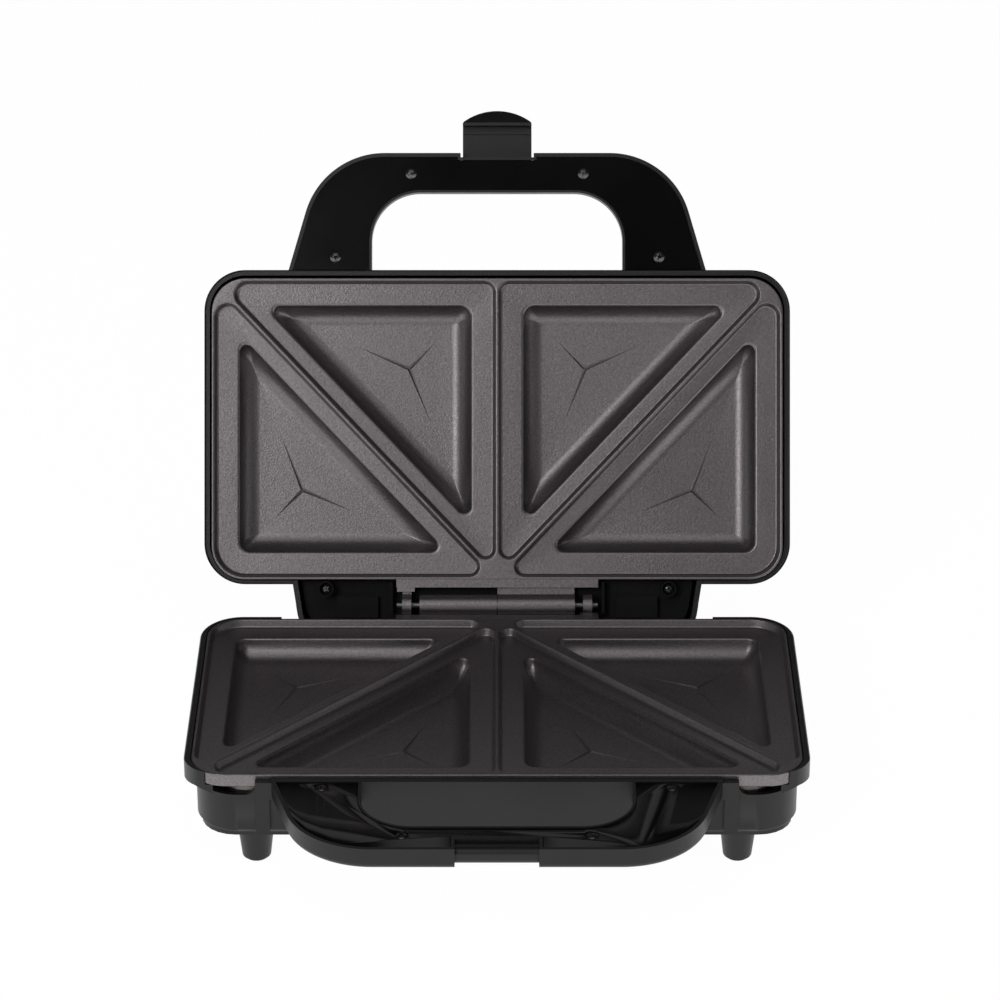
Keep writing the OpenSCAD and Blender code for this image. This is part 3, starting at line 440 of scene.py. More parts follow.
def plateBody():
    p = plate
    bm = bmesh.new()
    box = boxOutline(p["width"] / 2, frontY, rearY)
    outline = lambda gap: roundedIn(box, [p["corner"]] * 4, gap, p["cornerSteps"])
    r = p["rimRound"]
    under = p["underRound"]
    rings = [ring(bm, outline(under), -underZ), ring(bm, outline(0), -underZ + under)]
    rings += [ring(bm, outline(r * c), -faceZ - r * (1 - s)) for s, c in quarter(4)]
    for a, b in zip(rings, rings[1:]):
        bridge(bm, a, b)
    tops, bulges = zip(*[plateFace(bm, side) for side in (-1, 1)])
    sheetBetween(bm, [rings[-1], *sum(tops, [])])
    sheetBetween(bm, [rings[0], *sum(bulges, [])])
    return newPiece("plateBody", bm)


def knuckles():
    # the cast barrel on the left, the ear on the right, and the flange that carries them
    p = plate
    r, gap = p["barrel"] / 2, p["barrelGap"]
    half = p["barrelLength"] + p["earGap"] + p["ear"] + p["flangeEnd"]
    back = rearY + p["flangeReach"]
    ear = gap + p["barrelLength"] + p["earGap"]
    low, top = -r + 0.05, -faceZ - p["web"]
    flange = [-faceZ - z for z in reversed(p["flange"])]
    parts = [
        block((-half, half), (rearY - p["rim"] + 0.4, back), flange),
        block((-ear + p["earGap"], -gap), (back - 0.5, 0.2), (low, top)),
        xRod(0, 0, r, -ear + p["earGap"], -gap, 64),
        block((ear, ear + p["ear"]), (back - 0.5, 0.2), (low, top)),
        block((ear - 1.5, ear + p["ear"] + 2.5), (back - 0.5, back + 2), flange),
        xRod(0, 0, r, ear, ear + p["ear"], 64)]
    bore = xRod(0, 0, p["pinBore"], -p["boreReach"], p["boreReach"])
    return finished(cut(joined(*parts), bore), "knuckles", Matrix(), 0.45, 2)


def makePlate(name, place):
    piece = smoothed(plateBody())
    carrier = knuckles()
    for part in (piece, carrier):
        part.data.transform(place)
    bm = bmesh.new()
    bm.from_mesh(piece.data)
    bm.from_mesh(carrier.data)
    bm.to_mesh(piece.data)
    bm.free()
    bpy.data.objects.remove(carrier)
    piece = smoothed(piece)
    piece.name = name
    piece.data.name = name
    return piece


# Handles, drawn as the lid's: face towards the parting line, back upwards

coverLow = handle["gap"] + handle["sink"]
coverHigh = coverLow + handle["cover"]
handleTipWidth = handle["width"] - 2 * handle["reach"] * math.tan(turn(handle["lean"]))


def handleHalf(y):
    return handle["width"] / 2 + (y - frontY) * math.tan(turn(handle["lean"]))


def handleOutline(y, gap):
    pts = [Vector(p) for p in ((-handleTipWidth / 2, handleFront), (handleTipWidth / 2, handleFront),
                               (handleHalf(y), y), (-handleHalf(y), y))]
    return rounded(movedIn(pts, [gap, gap, 0, gap]), less([handle["corner"], handle["corner"], 0, 0], gap),
                   handle["cornerSteps"])


def gripOutline(y, gap):
    pts = boxOutline(handle["gripWidth"] / 2, frontY - handle["gripReach"], y)
    return rounded(movedIn(pts, [gap, gap, 0, gap]), less([handle["gripCorner"]] * 2 + [0, 0], gap),
                   handle["cornerSteps"])


def gripScrews(shift):
    return [Vector((side * x, y + shift)) for side in (-1, 1) for x, y in (
        (handle["gripWidth"] / 2 - handle["gripScrew"][0], handleFront + handle["gripScrew"][1]),
        (handle["width"] / 2 - handle["rootScrew"][0], frontY - handle["rootScrew"][1]))]


def handleBody(rootY, shift):
    edge = handle["edge"]
    body = stack([(handle["gap"], handleOutline(rootY, 0))] + [
        (handleTop - edge * (1 - s), handleOutline(rootY, edge * c)) for s, c in quarter(housing["edgeSteps"])])
    gap = housing["gap"] / 3
    seat = cut(slab(handleOutline(shellFront, handle["lip"] - gap), handle["gap"] - 1, coverHigh),
               slab(gripOutline(shellFront + 1, gap - handle["gripLip"]), handle["gap"] - 2, coverHigh + 1))
    wall = housing["wall"]
    hollow = cut(slab(handleOutline(shellFront, wall + 1), coverHigh - 0.01, handleTop - wall),
                 slab(gripOutline(shellFront + 1, -wall - 1), coverHigh - 1, handleTop),
                 *[bore(p, handle["boss"], coverHigh - 1, handleTop) for p in gripScrews(shift)])
    return cut(body, slab(gripOutline(shellFront, 0), handle["gap"] - 1, handleTop + 1), seat, hollow,
               *[bore(p, handle["pilot"], handle["gap"], handleTop - wall) for p in gripScrews(shift)])


def notchWalls(half, cheek, low):
    deep = handleFront + latch["notchDepth"]
    top = handleTop - 1
    return [block(sorted((side * (half - 0.01), side * (half + cheek))),
                  (handleFront + 1.5, deep + housing["wall"]), (low, top)) for side in (-1, 1)] + [
        block((-half - cheek, half + cheek), (deep, deep + housing["wall"]), (low, top))]


def makeHandleCover(name, place, shift, notch):
    top, low = coverHigh, coverLow
    seat, sink = handle["headSeat"]
    body = cut(slab(handleOutline(shellFront - housing["gap"], handle["lip"]), low, top),
               slab(gripOutline(shellFront + 1, -handle["gripLip"]), low - 1, top + 1),
               block((-notch[0], notch[0]), (-far, handleFront + notch[1]), (low - 1, top + 1)),
               *[bore(p, handle["hole"], low - 1, top + 1) for p in gripScrews(shift)],
               *[bore(p, seat, low - 1, low + sink) for p in gripScrews(shift)])
    return finished(body, name, place, 0.22, 2)


# Lower housing

tubBox = boxOutline(shellWidth / 2 - housing["tubStep"], tubFront, tubRear)
shellBox = boxOutline(shellWidth / 2, shellFront, shellRear)
bandLow = underZ + housing["gap"] + housing["skirt"]


def tubOutline(gap):
    return roundedIn(tubBox, [shellCorner] * 4, gap, housing["cornerSteps"])


def shellOutline(gap):
    return roundedIn(shellBox, [shellCorner] * 4, gap, housing["cornerSteps"])


def plateSeat():
    # the opening that a plate sits in
    gap = housing["gap"]
    return rounded(boxOutline(plate["width"] / 2 + gap, frontY - gap, rearY + gap),
                   [plate["corner"] + gap] * 4, housing["cornerSteps"])


def lowerHousing():
    h = housing
    low = -h["tubHeight"]
    few = quarter(6)
    (inset, rise), (out, start, high) = h["tubRound"], h["bandStep"]
    levels = [(low + rise * s, tubOutline(inset * (1 - s))) for s in (0, 0.5, 1)]
    # wall, then the band that steps out above it and rounds over at its top edge
    levels += [(-bandLow - out, tubOutline(0))]
    levels += [(-bandLow - start + high * (1 - c), shellOutline(out * (1 - s))) for s, c in few[1:]]
    levels += [(-faceZ - h["lipHigh"] * (1 - s), shellOutline(h["lipRound"] * c)) for s, c in quarter(4)]
    shell = stack(levels)
    pillar = handleHalf(frontY) + h["pillar"]
    bandEnd = frontY + h["scoopReach"]
    grip = handle["gripWidth"] / 2

    def scoop(side):
        # the cut under the plate's corner, round at its foot beside the pillar
        r, low = h["scoop"], -bandLow - h["scoopLow"]
        foot = Vector((pillar + r, low + r))
        arc = [foot + r * Vector((math.cos(turn(a)), math.sin(turn(a)))) for a in range(180, 271, 9)]
        pts = arc + [Vector(p) for p in ((far, low), (far, 1), (pillar, 1))]
        made = yProfile(pts, -far, bandEnd)
        if side < 0:
            made.data.transform(Matrix.Scale(-1, 4, (1, 0, 0)))
            made.data.flip_normals()
        return common(made, slab(tubOutline(-0.01), -far, far))

    def bandRunOut(side):
        # the side lips curve in and run out into the wall at the front corners
        (runX, runY), start = h["bandRun"], frontY + h["bandStart"]
        inner = shellWidth / 2 - runX
        arc = [(inner + runX * math.cos(turn(a)), start - runY * math.sin(turn(a))) for a in range(0, 91, 9)]
        pts = [(pillar, -far), (far, -far), (far, start)] + arc + [(pillar, start - runY)]
        return cut(slab([Vector((side * x, y)) for x, y in pts], -bandLow - out, 1), slab(tubOutline(0), -far, far))

    shell = cut(shell, slab(tubOutline(h["wall"]), low - 1, 1), slab(plateSeat(), -underZ - h["gap"], 1),
                *bothSides(scoop), *bothSides(bandRunOut),
                block((-pillar, pillar), (-far, frontY - h["gap"]), (-handle["gap"] - h["rootDrop"], 1)),
                block((-grip - 1, grip + 1), (-far, bandEnd), (-underZ + 0.4, 1)),
                block((-h["humpHalf"] - h["humpRoom"], h["humpHalf"] + h["humpRoom"]), (rearY - 3, far),
                      (-bandLow - h["humpLedge"], 1)))
    catchHalf = latch["width"] / 2 + latch["catchRoom"]
    deep = handleFront + latch["notchDepth"]
    arms = handleBody(tubFront + 1, handle["lowerShift"])
    arms.data.transform(upsideDown)
    arms.data.flip_normals()
    arms = cut(arms, block((-catchHalf, catchHalf), (-far, deep), (-far, far)))
    walls = notchWalls(catchHalf, latch["cheek"], handle["gap"])
    for wall in walls:
        wall.data.transform(upsideDown)
        wall.data.flip_normals()
    top = -handle["gap"] - latch["catchDrop"]
    front, r = handleFront + latch["catchIn"], latch["catchRound"]
    bar = xProfile(rounded([Vector(p) for p in (
        (front, top - latch["catch"]), (deep + 0.01, top - latch["catch"]), (deep + 0.01, top), (front, top))],
        [r, 0, 0, r], 10), catchHalf + 0.01)
    inner = handleHalf(frontY)
    pillars = bothSides(lambda side: block(sorted((side * inner, side * (inner + h["pillar"]))),
                                           (shellFront, tubFront + 1), (low + rise, -handle["gap"] - h["rootDrop"])))
    return joined(shell, arms, *walls, bar, *pillars)


# Lid

humpWide, humpNarrow = housing["humpHalf"], housing["humpHalf"] - housing["humpTaper"]
humpFront, humpBack = rearY - housing["humpIn"], housing["humpReach"]
humpBox = [Vector(p) for p in ((-humpWide, humpFront), (humpWide, humpFront),
                               (humpNarrow, humpBack), (-humpNarrow, humpBack))]
humpLow = -faceZ + 0.2
panel = {"inset": 30, "thick": 2.2, "drop": 0.6, "ledge": 5}


def lidRings(gap, roundRim=True):
    wallTop, r = housing["lidWall"], housing["lipRound"]
    rise = housing["lidHeight"] - wallTop
    rim = [(faceZ + r * (1 - c), shellOutline(gap + r * (1 - s))) for s, c in quarter(4)] \
        if roundRim else [(faceZ, shellOutline(gap))]
    return rim + [(wallTop + rise * s - gap * s, shellOutline(housing["lidLip"] + gap + housing["lidRun"] * c))
                  for s, c in quarter(16)]


def humpRings(gap):
    wallTop, r = housing["humpWall"], housing["humpCorner"]
    rise = housing["humpHeight"] - wallTop
    outline = lambda inset: roundedIn(humpBox, [0, 0, r, r], inset, housing["cornerSteps"])
    return [(humpLow, outline(gap))] + [(wallTop + rise * s - gap * s, outline(gap + housing["humpRun"] * c))
                                        for s, c in quarter(12)]


def upperHousing():
    h, wall = housing, housing["wall"]
    outer = joined(stack(lidRings(0)), stack(humpRings(0)))
    room = lidRings(wall, False)
    hollow = cut(joined(stack([(-1, room[0][1])] + room), slab(shellOutline(wall), -2, faceZ + 1)),
                 block((-far, far), (shellRear - 1, far), (-far, far)))
    behind = humpRings(wall)
    opening = rearY - h["humpOpen"]
    behind = cut(stack([(humpLow - 1, behind[0][1])] + behind), block((-far, far), (-far, opening), (-far, far)))
    top = h["lidHeight"]
    shell = cut(outer, hollow, behind,
                block((-h["humpHalf"] + wall, h["humpHalf"] - wall), (opening, 0), (-far, 1)),
                slab(plateSeat(), -1, underZ + h["gap"]),
                slab(shellOutline(panel["inset"]), top - panel["thick"] - panel["drop"], top + 1),
                slab(shellOutline(panel["inset"] + panel["ledge"]), h["lidWall"], top + 1))
    notch = latch["width"] / 2 + latch["notchSide"]
    lip, through = latch["notchLip"], handleFront + latch["notchOpen"]
    arms = joined(handleBody(shellFront + 2, 0),
                  block((-notch - lip, notch + lip), (through - 1, through + lip), (handle["gap"], coverHigh)))
    arms = cut(arms,
               block((-notch, notch), (-far, handleFront + latch["notchDepth"]), (coverHigh - 1, far)),
               block((-notch, notch), (-far, through), (-far, far)))
    return joined(shell, arms, *notchWalls(notch, latch["pinCheek"], coverHigh))


# Latch, drawn hooked under the catch bar, then swung up clear of the handles

def makeLatch(name):
    half = latch["width"] / 2
    pivotY, pivotZ = handleFront + latch["pivotBack"], handle["gap"] + handle["thick"] / 2
    inner = handleFront - housing["gap"]
    outer = inner - latch["thick"]
    tip = pivotZ - latch["reach"] - (pivotY - handleFront)
    high = pivotZ + latch["hub"] - latch["hubFlat"]
    hookTop = -handle["gap"] - latch["catchDrop"] - latch["catch"] - housing["gap"]
    hookY, webZ = pivotY - latch["hookBack"], pivotZ - latch["web"]
    slotTop = hookTop + latch["slotHigh"]
    beadTop = slotTop + latch["bead"]
    thinHigh, thinDeep = latch["thinSlot"]
    side = xProfile(((outer, high), (outer, tip), (inner, tip), (hookY, hookTop - latch["hookEnd"]),
                     (hookY, hookTop), (inner - latch["slotDeep"], hookTop),
                     (inner - latch["slotDeep"], slotTop), (inner, slotTop), (inner, beadTop),
                     (inner - thinDeep, beadTop), (inner - thinDeep, beadTop + thinHigh), (inner, beadTop + thinHigh),
                     (inner, webZ), (pivotY, webZ), (pivotY, high)), half)
    # the finger tab's arched end
    lean = turn(latch["archLean"])
    apex = tip - latch["archRadius"] * (1 / math.cos(lean) - 1)
    shoulder = apex + half * math.tan(lean)
    arch = yProfile(rounded([Vector(p) for p in (
        (half, high), (-half, high), (-half, shoulder), (0, apex), (half, shoulder))],
        [0, 0, latch["archCorner"], latch["archRadius"], latch["archCorner"]], 20), outer - 1, pivotY + 1)
    body = joined(common(side, arch), xRod(pivotY, pivotZ, latch["hub"], -half, half))
    body = cut(body, xRod(pivotY, pivotZ, latch["pin"] / 2 + latch["pinRoom"], -far, far))
    swing = onLid @ Matrix.Translation((0, pivotY, pivotZ)) @ Matrix.Rotation(-math.pi / 2, 4, "X") \
        @ Matrix.Translation((0, -pivotY, -pivotZ))
    return finished(body, name, swing, 0.3, 3)


# Materials

def material(name):
    made = bpy.data.materials.new(name)
    made.use_nodes = True
    tree = made.node_tree
    return made, tree, tree.nodes["Principled BSDF"]


def node(tree, kind, settings=None, **values):
    made = tree.nodes.new("ShaderNode" + kind)
    for key, value in (settings or {}).items():
        setattr(made, key, value)
    for key, value in values.items():
        made.inputs[key].default_value = value
    return made


def speckled(name, colour, spread, rough, roughSpread, scale, bump, specular=0.5, metallic=0.0, coat=0.0):
    # a moulded or coated finish: fine grain in the bump, slow drift in colour and roughness
    made, tree, shader = material(name)
    link = tree.links.new
    place = node(tree, "TexCoord")
    grain = node(tree, "TexNoise", {"noise_dimensions": "3D"}, Scale=scale, Detail=3.0, Roughness=0.6)
    drift = node(tree, "TexNoise", {"noise_dimensions": "3D"}, Scale=scale / 60, Detail=4.0, Roughness=0.55)
    for texture in (grain, drift):
        link(place.outputs["Object"], texture.inputs["Vector"])
    mixed = node(tree, "MapRange")
    mixed.inputs["From Min"].default_value = 0.3
    mixed.inputs["From Max"].default_value = 0.7
    mixed.inputs["To Min"].default_value = rough - roughSpread
    mixed.inputs["To Max"].default_value = rough + roughSpread
    link(drift.outputs["Fac"], mixed.inputs["Value"])
    link(mixed.outputs["Result"], shader.inputs["Roughness"])
    ramp = node(tree, "ValToRGB")
    ramp.color_ramp.elements[0].position = 0.32
    ramp.color_ramp.elements[1].position = 0.72
    ramp.color_ramp.elements[0].color = (*[c * (1 - spread) for c in colour], 1)
    ramp.color_ramp.elements[1].color = (*[min(c * (1 + spread), 1) for c in colour], 1)
    link(grain.outputs["Fac"], ramp.inputs["Fac"])
    link(ramp.outputs["Color"], shader.inputs["Base Color"])
    lift = node(tree, "Bump", Strength=bump)
    lift.inputs["Distance"].default_value = 0.0004
    link(grain.outputs["Fac"], lift.inputs["Height"])
    link(lift.outputs["Normal"], shader.inputs["Normal"])
    shader.inputs["Metallic"].default_value = metallic
    shader.inputs["Specular IOR Level"].default_value = specular
    shader.inputs["Coat Weight"].default_value = coat
    shader.inputs["Coat Roughness"].default_value = 0.2
    return made


finishes = {
    "black_plastic": speckled("mouldedPhenolic", (0.012, 0.012, 0.0125), 0.15, 0.4, 0.05, 1500, 0.2),
    # darker and duller than the outer moulding; on the hinge cover this darkness is painted shade for the hollow of
    # the hump
    "inner_plastic": speckled("innerMouldingAndPaintedShade", (0.005, 0.005, 0.005), 0.1, 0.62, 0.05, 1300, 0.2, 0.2),
    "gloss_cover": speckled("polishedCover", (0.005, 0.005, 0.0055), 0.05, 0.16, 0.03, 900, 0.015),
    "plate_coating": speckled("speckledCoating", (0.25, 0.228, 0.236), 0.2, 0.4, 0.04, 1100, 0.25, 0.5, 0.85, 0.25),
    "foot_rubber": speckled("footRubber", (0.02, 0.02, 0.02), 0.1, 0.75, 0.05, 1200, 0.3, 0.3),
    "screw_steel": speckled("zincScrew", (0.5, 0.5, 0.52), 0.06, 0.35, 0.06, 700, 0.1, 0.5, 1.0),
    "dark_screw": speckled("blackedScrew", (0.16, 0.16, 0.165), 0.1, 0.28, 0.04, 900, 0.1, 0.5, 0.9),
    "element_steel": speckled("elementSheath", (0.38, 0.36, 0.33), 0.12, 0.5, 0.08, 500, 0.2, 0.5, 1.0),
    "shield_steel": speckled("galvanisedSheet", (0.55, 0.55, 0.56), 0.15, 0.4, 0.1, 180, 0.1, 0.5, 1.0),
    "shield_aluminium": speckled("aluminiumSheet", (0.68, 0.68, 0.69), 0.06, 0.35, 0.08, 300, 0.1, 0.5, 1.0),
    "pin_steel": speckled("turnedPin", (0.2, 0.195, 0.19), 0.08, 0.34, 0.05, 800, 0.1, 0.5, 1.0),
    "ceramic_white": speckled("ceramicWhite", (0.72, 0.7, 0.64), 0.04, 0.5, 0.06, 500, 0.1),
    "red_lens": speckled("redLens", (0.35, 0.015, 0.012), 0.05, 0.15, 0.02, 400, 0.02),
    "green_lens": speckled("greenLens", (0.02, 0.22, 0.05), 0.05, 0.15, 0.02, 400, 0.02),
    "lamp_glass": speckled("lampGlass", (0.75, 0.6, 0.45), 0.04, 0.1, 0.02, 400, 0.02),
}


def dress(piece, finish, body, *nodes):
    piece.data.materials.clear()
    piece.data.materials.append(finishes[finish])
    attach(piece, body)
    if nodes:
        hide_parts(*nodes)


finishOf = {row["node"]: row["material_slot"] for row in frame["record"]["subparts"]}
for name, piece in frame["nodes"].items():
    piece.data.materials.clear()
    piece.data.materials.append(finishes[finishOf[name]])
print("finishes made")

dress(makePlate("lowerPlate", onBase), "plate_coating", "base", "lower_plate")
dress(makePlate("upperPlate", onLid @ turnedOver), "plate_coating", "lid", "upper_plate")
print("plates made")
catchRoom = latch["width"] / 2 + latch["catchRoom"] + latch["cheek"] + housing["gap"]
notchDeep = latch["notchDepth"] + housing["wall"] + housing["gap"]
dress(makeHandleCover("lowerHandleCover", onBase @ upsideDown, handle["lowerShift"], (catchRoom, notchDeep)),
      "gloss_cover", "base", "lower_handle_cover")
notchRoom = latch["width"] / 2 + latch["notchSide"] + latch["notchLip"] + housing["gap"]
lipDeep = latch["notchOpen"] + latch["notchLip"] + housing["gap"] / 3
dress(makeHandleCover("upperHandleCover", onLid, 0, (notchRoom, lipDeep)),
      "gloss_cover", "lid", "upper_handle_cover")
dress(finished(lowerHousing(), "lowerHousing", onBase, 0.45, 3), "black_plastic", "base", "lower_housing")
dress(finished(upperHousing(), "upperHousing", onLid, 0.45, 3), "black_plastic", "lid", "upper_housing")
dress(makeLatch("latchTab"), "black_plastic", "latch", "latch")
print("housings and handles made")


def softened(name, cadNode, body, edge, finish=None, segments=2):
    # a copy of a plain solid with its edges rounded
    mesh = frame["nodes"][cadNode].data.copy()
    mesh.transform(Matrix.Scale(1 / mm, 4))
    piece = bpy.data.objects.new(name, mesh)
    bpy.context.scene.collection.objects.link(piece)
    finished(piece, name, Matrix.Scale(mm, 4), edge, segments)
    dress(piece, finish or finishOf[cadNode], body, cadNode)


softened("baseCover", "base_cover", "base", 0.35)
softened("standingFeet", "feet", "base", 0.6)
softened("footPads", "foot_pads", "base", 0.4)
softened("cordGland", "cord_gland", "base", 0.35)
softened("lidPanel", "lid_panel", "lid", 0)
# the hinge cover takes the darker inner finish as painted shade inside the hump, not black_plastic like the shell
# around it
softened("hingeCover", "hinge_cover", "lid", 0.3, "inner_plastic")
softened("powerLens", "power_lens", "lid", 0.2)
softened("readyLens", "ready_lens", "lid", 0.2)
print("covers and feet made")

# Screws: a node tree that stands one cross-headed screw, head down, on each point of a mesh

screw = {  # each kind's thread radius, head radius, head height and length
    "handle": (1.4, 2.6, 1.4, 6), "hinge": (1.4, 2.6, 1.4, 12), "base": (1.6, 3, 1.8, 7),
    "slot": (1.15, 0.3, 0.6), "dome": 1.6, "bite": 0.2, "sides": 40, "seed": 7,
    "hingeAt": (79.1, 4.2, 4), "baseInset": 5, "baseRows": (44, 36), "baseSink": 1,
}


def screwTree():
    tree = bpy.data.node_groups.new("screwSet", "GeometryNodeTree")
    face = tree.interface
    face.new_socket(name="Geometry", in_out="INPUT", socket_type="NodeSocketGeometry")
    sockets = {name: face.new_socket(name=name, in_out="INPUT", socket_type="NodeSocket" + kind).identifier
               for name, kind in (("Thread Radius", "Float"), ("Head Radius", "Float"), ("Head Height", "Float"),
                                  ("Length", "Float"), ("Seed", "Int"), ("Finish", "Material"))}
    face.new_socket(name="Geometry", in_out="OUTPUT", socket_type="NodeSocketGeometry")
    link = tree.links.new
    given = tree.nodes.new("NodeGroupInput")
    taken = tree.nodes.new("NodeGroupOutput")

    def add(kind, settings=None, **wires):
        made = tree.nodes.new(kind)
        for key, value in (settings or {}).items():
            setattr(made, key, value)
        for key, value in wires.items():
            socket = made.inputs[int(key[1:])] if key[0] == "_" else made.inputs[key]
            if isinstance(value, bpy.types.NodeSocket):
                link(value, socket)
            else:
                socket.default_value = value
        return made.outputs[0]

    def sums(how, a, b):
        return add("ShaderNodeMath", {"operation": how}, _0=a, _1=b)

    def place(x=0.0, y=0.0, z=0.0):
        return add("ShaderNodeCombineXYZ", X=x, Y=y, Z=z)

    def moved(shape, z):
        return add("GeometryNodeTransform", Geometry=shape, Translation=place(z=z))

    def solids(how, a, *others):
        made = tree.nodes.new("GeometryNodeMeshBoolean")
        made.operation = how
        if how == "DIFFERENCE":
            link(a, made.inputs["Mesh 1"])
        else:
            link(a, made.inputs["Mesh 2"])
        for other in others:
            link(other, made.inputs["Mesh 2"])
        return made.outputs[0]

    def cylinder(radius, depth):
        return add("GeometryNodeMeshCylinder", Vertices=screw["sides"], Radius=radius, Depth=depth)

    thread, head, high, length = [given.outputs[k] for k in ("Thread Radius", "Head Radius", "Head Height", "Length")]
    ball = sums("MULTIPLY", head, screw["dome"])
    dome = moved(add("GeometryNodeMeshUVSphere", Segments=screw["sides"], Rings=screw["sides"], Radius=ball),
                 sums("SUBTRACT", high, ball))
    disc = moved(cylinder(head, high), sums("MULTIPLY", high, 0.5))
    # the shank reaches a little into the head
    bite = screw["bite"]
    shank = moved(cylinder(thread, sums("ADD", length, bite)), sums("ADD", sums("MULTIPLY", length, -0.5), bite / 2))
    long, wide, deep = screw["slot"]
    bars = [moved(add("GeometryNodeMeshCube", Size=place(sums("MULTIPLY", head, a), sums("MULTIPLY", head, b), high)),
                  sums("MULTIPLY", high, 1.5 - deep)) for a, b in ((long, wide), (wide, long))]
    whole = solids("DIFFERENCE", solids("UNION", solids("INTERSECT", disc, dome), shank), *bars)
    spin = add("FunctionNodeRandomValue", {"data_type": "FLOAT"}, Seed=given.outputs["Seed"])
    spin = spin.node.outputs[1]
    turned = place(math.pi, 0.0, sums("MULTIPLY", spin, math.pi))
    placed = add("GeometryNodeInstanceOnPoints", Points=given.outputs["Geometry"], Instance=whole, Rotation=turned)
    real = add("GeometryNodeRealizeInstances", Geometry=placed)
    done = add("GeometryNodeSetMaterial", Geometry=real, Material=given.outputs["Finish"])
    link(done, taken.inputs[0])
    return tree, sockets


screwNodes, screwSockets = screwTree()


def screwSet(name, kind, points, place, finish, body, cadNode):
    mesh = bpy.data.meshes.new(name)
    mesh.from_pydata(points, [], [])
    piece = bpy.data.objects.new(name, mesh)
    bpy.context.scene.collection.objects.link(piece)
    modifier = piece.modifiers.new("screws", "NODES")
    modifier.node_group = screwNodes
    thread, head, high, length = screw[kind]
    for key, value in (("Thread Radius", float(thread)), ("Head Radius", float(head)), ("Head Height", float(high)),
                       ("Length", float(length)), ("Seed", screw["seed"]), ("Finish", finishes[finish])):
        modifier[screwSockets[key]] = value
    bpy.context.view_layer.update()
    finished(evaluated(piece), name, place, 0)
    dress(piece, finish, body, cadNode)


screwZ = coverLow + handle["headSeat"][1]
bossX, bossY, bossZ = screw["hingeAt"]
postX = shellWidth / 2 - housing["tubStep"] - housing["wall"] - screw["baseInset"]
postZ = -housing["tubHeight"] - housing["base"] + screw["baseSink"]
frontRow, rearRow = frontY + screw["baseRows"][0], rearY - screw["baseRows"][1]
screwSet("upperHandleScrews", "handle", [(p.x, p.y, screwZ) for p in gripScrews(0)], onLid,
         "dark_screw", "lid", "upper_handle_screws")
screwSet("lowerHandleScrews", "handle", [(p.x, p.y, screwZ) for p in gripScrews(handle["lowerShift"])],
         onBase @ upsideDown, "dark_screw", "base", "lower_handle_screws")
screwSet("hingeCoverScrews", "hinge", [(side * bossX, rearY + bossY, bossZ) for side in (-1, 1)], onLid,
         "dark_screw", "lid", "hinge_cover_screws")
screwSet("baseScrews", "base", [(side * postX, y, postZ) for side in (-1, 1) for y in (frontRow, rearRow)], onBase,
         "screw_steel", "base", "base_screws")
print("screws made")

# Floor, backdrop, light and camera

studio = {"floorSize": 9, "shadow": 0.1, "glow": 1.09, "world": 0.01, "pale": (0.02, 0.2),
          "lens": 142.7, "camera": (0.0013, -1.5633, 0.9201), "pitch": 63.05}
lamps = {  # place, size in metres, power in watts
    "leftNear": ((-0.95, -2.1, 1.5), (0.9, 0.9), 13.8),
    "highUp": ((0, -1.3, 2.4), (2.4, 1.8), 9),
    "backHigh": ((0, 1.8, 1.8), (1.6, 0.8), 1.6),
}


def paleStage(name, shadow):
    made = bpy.data.materials.new(name)
    made.use_nodes = True
    tree = made.node_tree
    tree.nodes.clear()
    link = tree.links.new
    output = node(tree, "OutputMaterial")
    diffuse = node(tree, "BsdfDiffuse", Color=(0.8, 0.8, 0.8, 1))
    glow = node(tree, "Emission", Color=(1, 1, 1, 1), Strength=studio["glow"])
    path = node(tree, "LightPath")
    seen = node(tree, "Math", {"operation": "MAXIMUM"})
    seenToo = node(tree, "Math", {"operation": "MAXIMUM"})
    link(path.outputs["Is Camera Ray"], seen.inputs[0])
    link(path.outputs["Is Glossy Ray"], seen.inputs[1])
    link(seen.outputs[0], seenToo.inputs[0])
    link(path.outputs["Is Transmission Ray"], seenToo.inputs[1])
    share = node(tree, "Math", {"operation": "MULTIPLY"})
    share.inputs[1].default_value = 1 - shadow
    link(seenToo.outputs[0], share.inputs[0])
    mix = node(tree, "MixShader")
    link(share.outputs[0], mix.inputs["Fac"])
    link(diffuse.outputs[0], mix.inputs[1])
    link(glow.outputs[0], mix.inputs[2])
    link(mix.outputs[0], output.inputs["Surface"])
    return made


floorForm = bmesh.new()
reach = studio["floorSize"]
floorForm.faces.new([floorForm.verts.new(p) for p in
                     ((-reach, -reach, 0), (reach, -reach, 0), (reach, reach, 0), (-reach, reach, 0))])
floor = newPiece("floor", floorForm)
floor.data.materials.append(paleStage("paleFloor", studio["shadow"]))

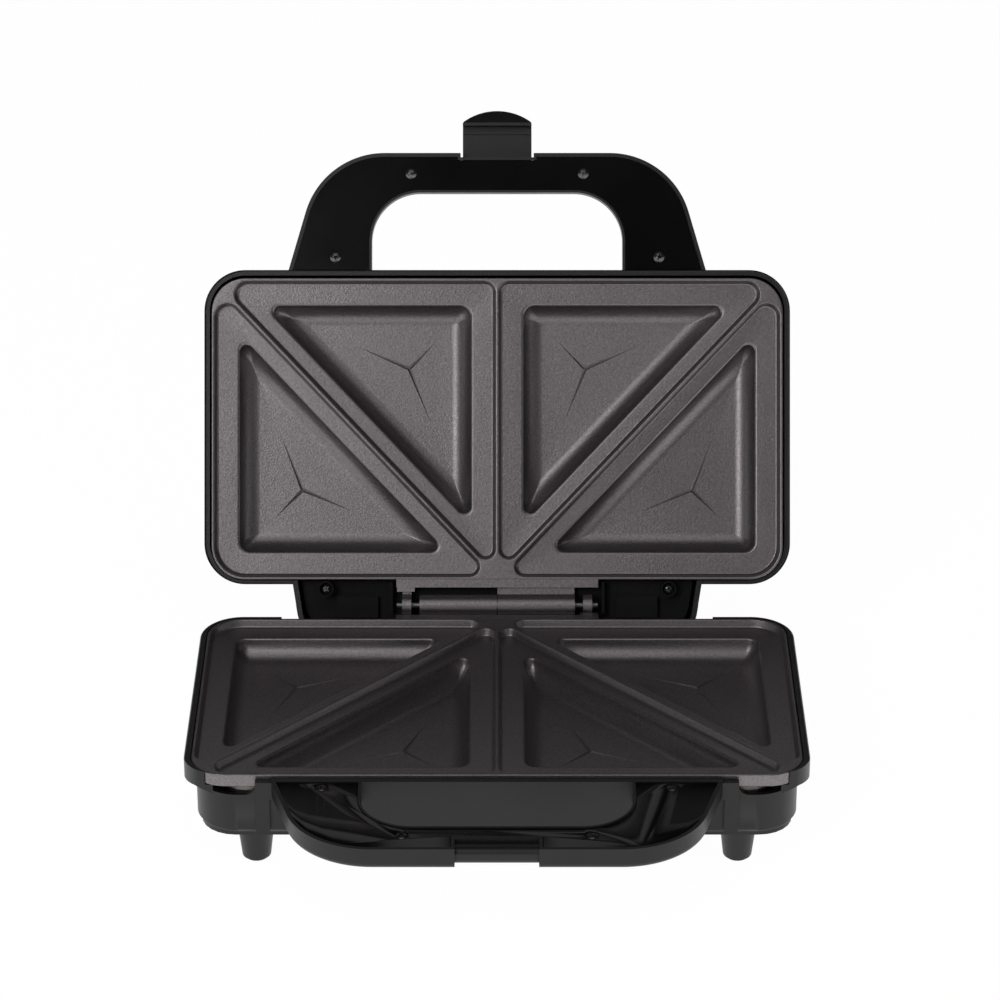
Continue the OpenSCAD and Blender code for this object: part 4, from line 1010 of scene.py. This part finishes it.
world = bpy.data.worlds.new("studio")
bpy.context.scene.world = world
world.use_nodes = True
tree = world.node_tree
tree.nodes.clear()
link = tree.links.new
path = node(tree, "LightPath")
seen = node(tree, "Math", {"operation": "MAXIMUM"})
link(path.outputs["Is Camera Ray"], seen.inputs[0])
link(path.outputs["Is Transmission Ray"], seen.inputs[1])
# gloss shows the pale surroundings low down, and the dim room above them
way = node(tree, "TexCoord")
split = node(tree, "SeparateXYZ")
link(way.outputs["Generated"], split.inputs[0])
lowDown = node(tree, "MapRange", {"interpolation_type": "SMOOTHSTEP"})
lowDown.inputs["From Min"].default_value, lowDown.inputs["From Max"].default_value = studio["pale"]
lowDown.inputs["To Min"].default_value, lowDown.inputs["To Max"].default_value = 1, 0
link(split.outputs["Z"], lowDown.inputs["Value"])
glossy = node(tree, "Math", {"operation": "MULTIPLY"})
link(path.outputs["Is Glossy Ray"], glossy.inputs[0])
link(lowDown.outputs["Result"], glossy.inputs[1])
pale = node(tree, "Math", {"operation": "MAXIMUM"})
link(seen.outputs[0], pale.inputs[0])
link(glossy.outputs[0], pale.inputs[1])
level = node(tree, "MapRange")
level.inputs["To Min"].default_value = studio["world"]
level.inputs["To Max"].default_value = 1
link(pale.outputs[0], level.inputs["Value"])
sky = node(tree, "Background", Color=(1, 1, 1, 1))
link(level.outputs["Result"], sky.inputs["Strength"])
output = node(tree, "OutputWorld")
link(sky.outputs[0], output.inputs["Surface"])


def softbox(name, place, size, power):
    light = bpy.data.lights.new(name, "AREA")
    light.shape = "RECTANGLE"
    light.size, light.size_y = size
    light.energy = power
    lamp = bpy.data.objects.new(name, light)
    lamp.location = place
    lamp.rotation_euler = (Vector((0, 0, 0.13)) - Vector(place)).to_track_quat("-Z", "Y").to_euler()
    bpy.context.scene.collection.objects.link(lamp)


for name, (place, size, power) in lamps.items():
    softbox(name, place, size, power)

camera = bpy.data.objects.new("camera", bpy.data.cameras.new("camera"))
camera.data.lens = studio["lens"]
camera.data.sensor_width = 36
camera.location = studio["camera"]
camera.rotation_euler = (turn(studio["pitch"]), 0, 0)
bpy.context.scene.collection.objects.link(camera)
bpy.context.scene.camera = camera
bpy.context.scene.view_settings.view_transform = "Standard"
print("studio made")
